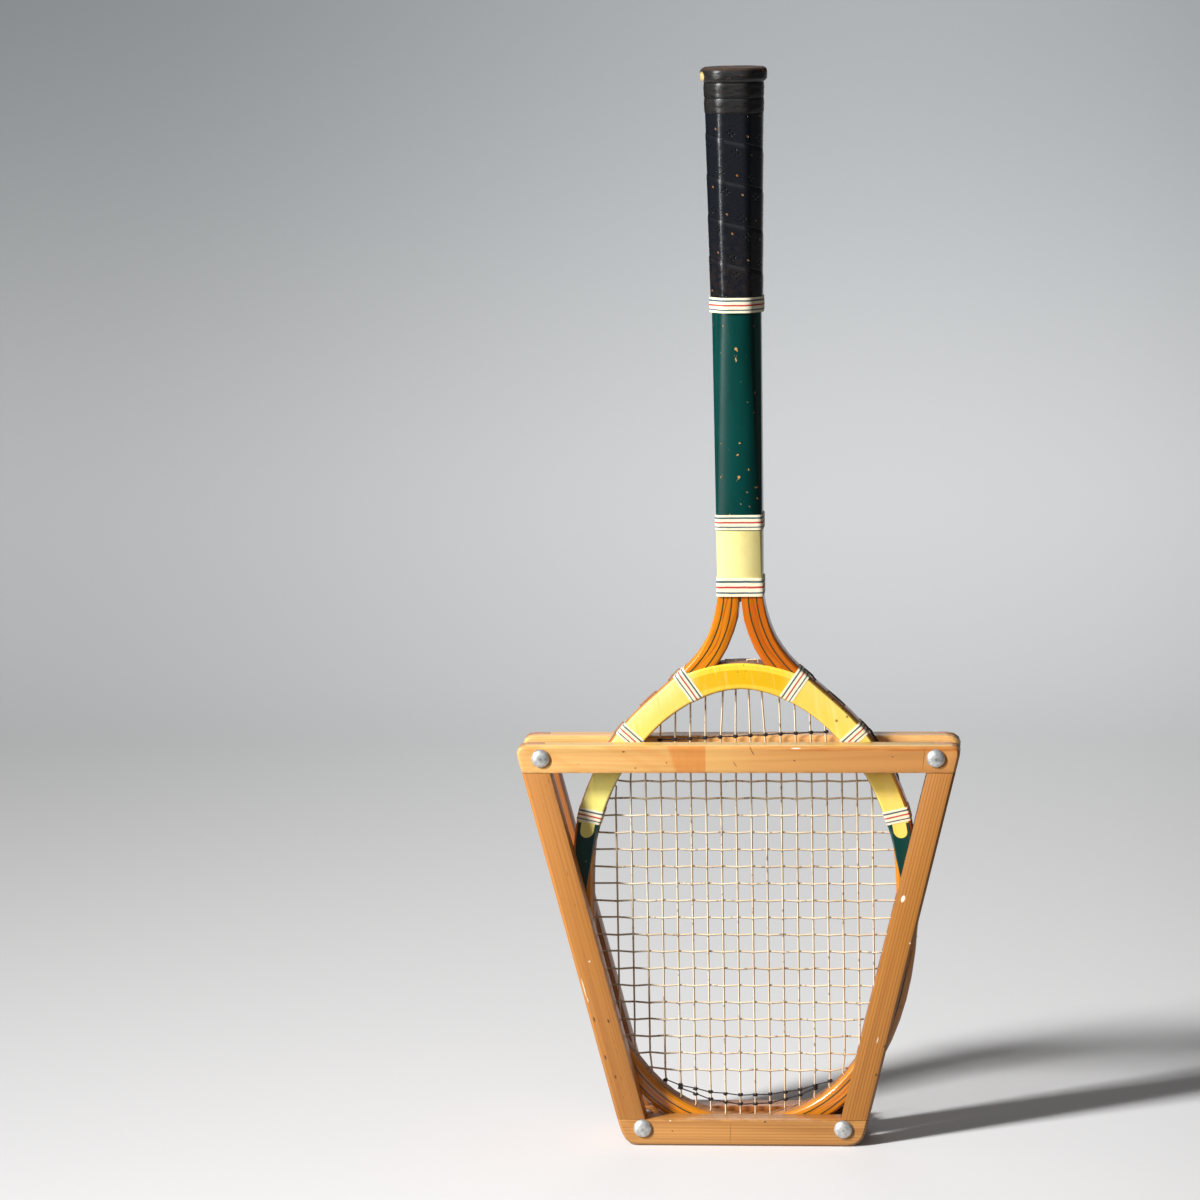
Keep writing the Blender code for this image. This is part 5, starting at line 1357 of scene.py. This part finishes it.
class RACKET_OT_bolts(Operator):
    """Carriage bolts with domed heads and cut threads, their washers and wing nuts"""
    bl_idname = "racket.bolts"
    bl_label = "Bolts and nuts"

    def execute(self, context):
        for corner in ("top_left", "top_right", "bottom_left", "bottom_right"):
            low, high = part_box("bolt_" + corner)
            place = Vector(((low.x + high.x) / 2, low.y, (low.z + high.z) / 2))
            zinc = zinc_finish("zinc_" + corner, place)
            self.bolt(corner, place, high.y, zinc)
            washer = cad_copy("washer_" + corner, "washer_%s_fine" % corner)
            soften(washer, 0.2 * MM, 2)
            coat(washer, zinc, "press_back", None, "washer_" + corner)
            nut = cad_copy("wing_nut_" + corner, "wing_nut_%s_fine" % corner)
            soften(nut, 0.5 * MM, 3, 25)
            coat(nut, zinc, "nut_" + corner, None, "wing_nut_" + corner)
        return {"FINISHED"}

    def bolt(self, corner, place, end, zinc):
        """A domed head and a shank whose thread is a helix of small ridges."""
        under = place.y + HEAD_RISE
        bpy.ops.object.select_all(action="DESELECT")
        bpy.ops.mesh.primitive_uv_sphere_add(segments=40, ring_count=20, radius=1.0, location=(0, 0, 0))
        dome = named("bolt_head_" + corner)
        bpy.ops.object.mode_set(mode="EDIT")
        bpy.ops.mesh.select_all(action="SELECT")
        bpy.ops.mesh.bisect(plane_co=(0, 0, 0.02), plane_no=(0, 0, -1), clear_outer=True, use_fill=True)
        bpy.ops.object.mode_set(mode="OBJECT")
        dome.scale = (HEAD_RADIUS, HEAD_RADIUS, HEAD_RISE)
        dome.rotation_euler = (math.pi / 2, 0, 0)
        dome.location = (place.x, under, place.z)
        settle(dome)
        bpy.ops.object.shade_smooth_by_angle(angle=math.radians(50))
        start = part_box("front_rail_top")[1].y - 6 * MM
        length = end - start
        steps = int(length / THREAD_PITCH * 4)

        def where(s, t):
            along = length * t
            phase = (along / THREAD_PITCH - s) % 1.0
            cut = (abs(2 * phase - 1) - 0.5) * 0.55 * MM
            fade = min(along / (3 * MM), 1.0, (length - along) / (1.2 * MM))
            blunt = (1 - min((length - along) / (0.8 * MM), 1.0)) * 0.5 * MM
            here = SHANK_RADIUS - 0.25 * MM + cut * fade - blunt
            angle = s * 2 * math.pi
            return Vector((place.x + here * math.cos(angle), start + along,
                           place.z + here * math.sin(angle))), (s, t)

        shank = wound_sheet("bolt_shank_" + corner, 14, steps, where, "sheet")
        bpy.ops.object.mode_set(mode="EDIT")
        bpy.ops.mesh.select_all(action="DESELECT")
        bpy.ops.mesh.select_non_manifold()
        bpy.ops.mesh.edge_face_add()
        face_out()
        coat(dome, zinc, "press_front", "bolt")
        coat(shank, zinc, "press_front", None, "bolt_" + corner)


class RACKET_OT_stage(Operator):
    """Camera, floor, backdrop and lamps"""
    bl_idname = "racket.stage"
    bl_label = "Stage"

    def execute(self, context):
        self.camera()
        tone = settings("racket_stage")
        bpy.ops.object.select_all(action="DESELECT")
        bpy.ops.mesh.primitive_plane_add(size=1, location=(0, 0, 0))
        floor = named("floor")
        floor.scale = (16, 9, 1)
        floor.location = (0, -1.5, 0)
        settle(floor)
        bpy.ops.object.mode_set(mode="EDIT")
        bpy.ops.mesh.select_all(action="DESELECT")
        bpy.ops.object.mode_set(mode="OBJECT")
        for edge in floor.data.edges:
            a, b = (floor.data.vertices[k].co for k in edge.vertices)
            edge.select = a.y > 2 and b.y > 2
        bpy.ops.object.mode_set(mode="EDIT")
        bpy.ops.mesh.select_mode(type="EDGE")
        bpy.ops.mesh.extrude_region_move(TRANSFORM_OT_translate={"value": (0, 0, 5)})
        bpy.ops.object.mode_set(mode="OBJECT")
        bend = floor.modifiers.new("bend", "BEVEL")
        bend.width = 1.6
        bend.segments = 24
        bend.limit_method = "ANGLE"
        apply_all(floor)
        # The sweep ends above the photograph's upper edge, so that a camera behind it looks over it
        bpy.ops.object.mode_set(mode="EDIT")
        bpy.ops.mesh.select_all(action="SELECT")
        bpy.ops.mesh.bisect(plane_co=(0, 0, SWEEP_TOP), plane_no=(0, 0, 1), clear_outer=True)
        bpy.ops.object.mode_set(mode="OBJECT")
        bpy.ops.object.shade_smooth()
        floor.data.materials.append(self.paper(tone))
        self.lamp("key_lamp", (-2.35, -1.90, 2.15), (0.42, 0.75), tone.key)
        self.lamp("strip_lamp", (-2.30, -1.86, 0.9), (0.16, 1.3), tone.key * 0.24)
        self.lamp("front_lamp", (0.5, -3.8, 1.6), (2.2, 2.2), tone.key * 0.06)
        self.lamp("back_lamp", (-0.3, 2.5, 1.5), (1.2, 1.2), tone.key * 0.05)
        context.scene.world = self.room(tone)
        context.scene.view_settings.view_transform = "Standard"
        return {"FINISHED"}

    def room(self, tone):
        """Pale to the camera, and dim for the light that it gives."""
        world = bpy.data.worlds.new("room")
        world.use_nodes = True
        tree = world.node_tree
        rays = tree.nodes.new("ShaderNodeLightPath")
        shade = tree.nodes.new("ShaderNodeMix")
        shade.data_type = "RGBA"
        shade.inputs[6].default_value = (tone.fill, tone.fill, tone.fill, 1.0)
        shade.inputs[7].default_value = (*tint(168, 172, 175), 1.0)
        tree.links.new(rays.outputs["Is Camera Ray"], shade.inputs[0])
        tree.links.new(shade.outputs[2], tree.nodes["Background"].inputs["Color"])
        tree.nodes["Background"].inputs["Strength"].default_value = 1.0
        return world

    def paper(self, tone):
        """Pale to the camera and in reflections, darker for the light that it throws back."""
        finish = Finish("seamless_paper")
        far = finish.y + finish.z * 0.6
        camera, glossy = (
            finish.node("ShaderNodeLightPath", out=name) for name in ("Is Camera Ray", "Is Glossy Ray"))
        seen = camera.most(glossy * (finish.y > -0.45) * (finish.x > -0.9))
        near = finish.mix(far.ease(-0.2, 1.0), tone.floor[:], tint(238, 238, 238))
        middle = finish.mix(far.ease(0.9, 2.0), near, tint(236, 238, 240))
        back = finish.mix(far.ease(2.0, 3.2), middle, tone.wall[:])
        # Painted shade: the paper darkens towards the left and a little towards the right.
        side_shade = (1 - finish.x.ease(-0.9, 0.15)) * 0.36 + finish.x.ease(0.2, 0.6) * 0.12
        back = finish.mix(side_shade, back, (0.0, 0.0, 0.0))
        hidden = finish.mix(glossy, tint(110, 108, 104), tint(36, 36, 36))
        colour = finish.mix(seen, hidden, back)
        finish.shader.inputs["Specular IOR Level"].default_value = 0.2
        return finish.done(colour, 0.9)

    def lamp(self, name, place, size, power):
        bpy.ops.object.light_add(type="AREA", location=place)
        lamp = bpy.context.object
        lamp.name = name
        lamp.data.shape = "RECTANGLE"
        lamp.data.size, lamp.data.size_y = size
        lamp.data.energy = power
        aim = Vector((0, 0, 0.3)) - Vector(place)
        lamp.rotation_euler = aim.to_track_quat("-Z", "Y").to_euler()

    def camera(self):
        """The photograph's view: a long lens, a little above and to the right of straight ahead."""
        turn, rise, roll = (math.radians(angle) for angle in CAMERA_TURNS)
        target = Vector((CAMERA_AIM[0], AXIS.y, CAMERA_AIM[1]))
        back = Vector((math.sin(turn) * math.cos(rise), -math.cos(turn) * math.cos(rise), math.sin(rise)))
        right = Vector((math.cos(turn), math.sin(turn), 0))
        up = back.cross(right)
        tilted = right * math.cos(roll) + up * math.sin(roll)
        upright = up * math.cos(roll) - right * math.sin(roll)
        bpy.ops.object.camera_add()
        camera = bpy.context.object
        camera.name = "camera"
        turned = Matrix((tilted, upright, back)).transposed().to_4x4()
        camera.matrix_world = Matrix.Translation(target + back * CAMERA_DISTANCE) @ turned
        camera.data.sensor_fit = "HORIZONTAL"
        camera.data.sensor_width = SENSOR
        camera.data.lens = SENSOR * LENS / PICTURE_WIDTH
        camera.data.clip_end = 40.0
        bpy.context.scene.camera = camera


OPERATORS = (
    RACKET_OT_stage, RACKET_OT_bow, RACKET_OT_facings, RACKET_OT_shaft, RACKET_OT_grip,
    RACKET_OT_tapes, RACKET_OT_strings, RACKET_OT_laths, RACKET_OT_bolts,
)


class RACKET_PT_pieces(Panel):
    bl_idname = "RACKET_PT_pieces"
    bl_label = "Racket in its press"
    bl_space_type = "VIEW_3D"
    bl_region_type = "UI"
    bl_category = "Racket"

    def draw(self, context):
        for operator in OPERATORS:
            self.layout.operator(operator.bl_idname)
        for name in SETTINGS:
            box = self.layout.box()
            box.label(text=name.replace("_", " ").capitalize())
            group = settings(name)
            for key in group.__annotations__:
                box.prop(group, key)


def register():
    for name, group in SETTINGS.items():
        bpy.utils.register_class(group)
        setattr(bpy.types.Scene, name, PointerProperty(type=group))
    for operator in OPERATORS:
        bpy.utils.register_class(operator)
    bpy.utils.register_class(RACKET_PT_pieces)


def unregister():
    bpy.utils.unregister_class(RACKET_PT_pieces)
    for operator in reversed(OPERATORS):
        bpy.utils.unregister_class(operator)
    for name, group in SETTINGS.items():
        delattr(bpy.types.Scene, name)
        bpy.utils.unregister_class(group)


def main():
    register()
    for operator in OPERATORS:
        group, name = operator.bl_idname.split(".")
        if getattr(getattr(bpy.ops, group), name)() != {"FINISHED"}:
            raise RuntimeError(operator.bl_label + " was not finished")


if __name__ == "__main__":
    main()
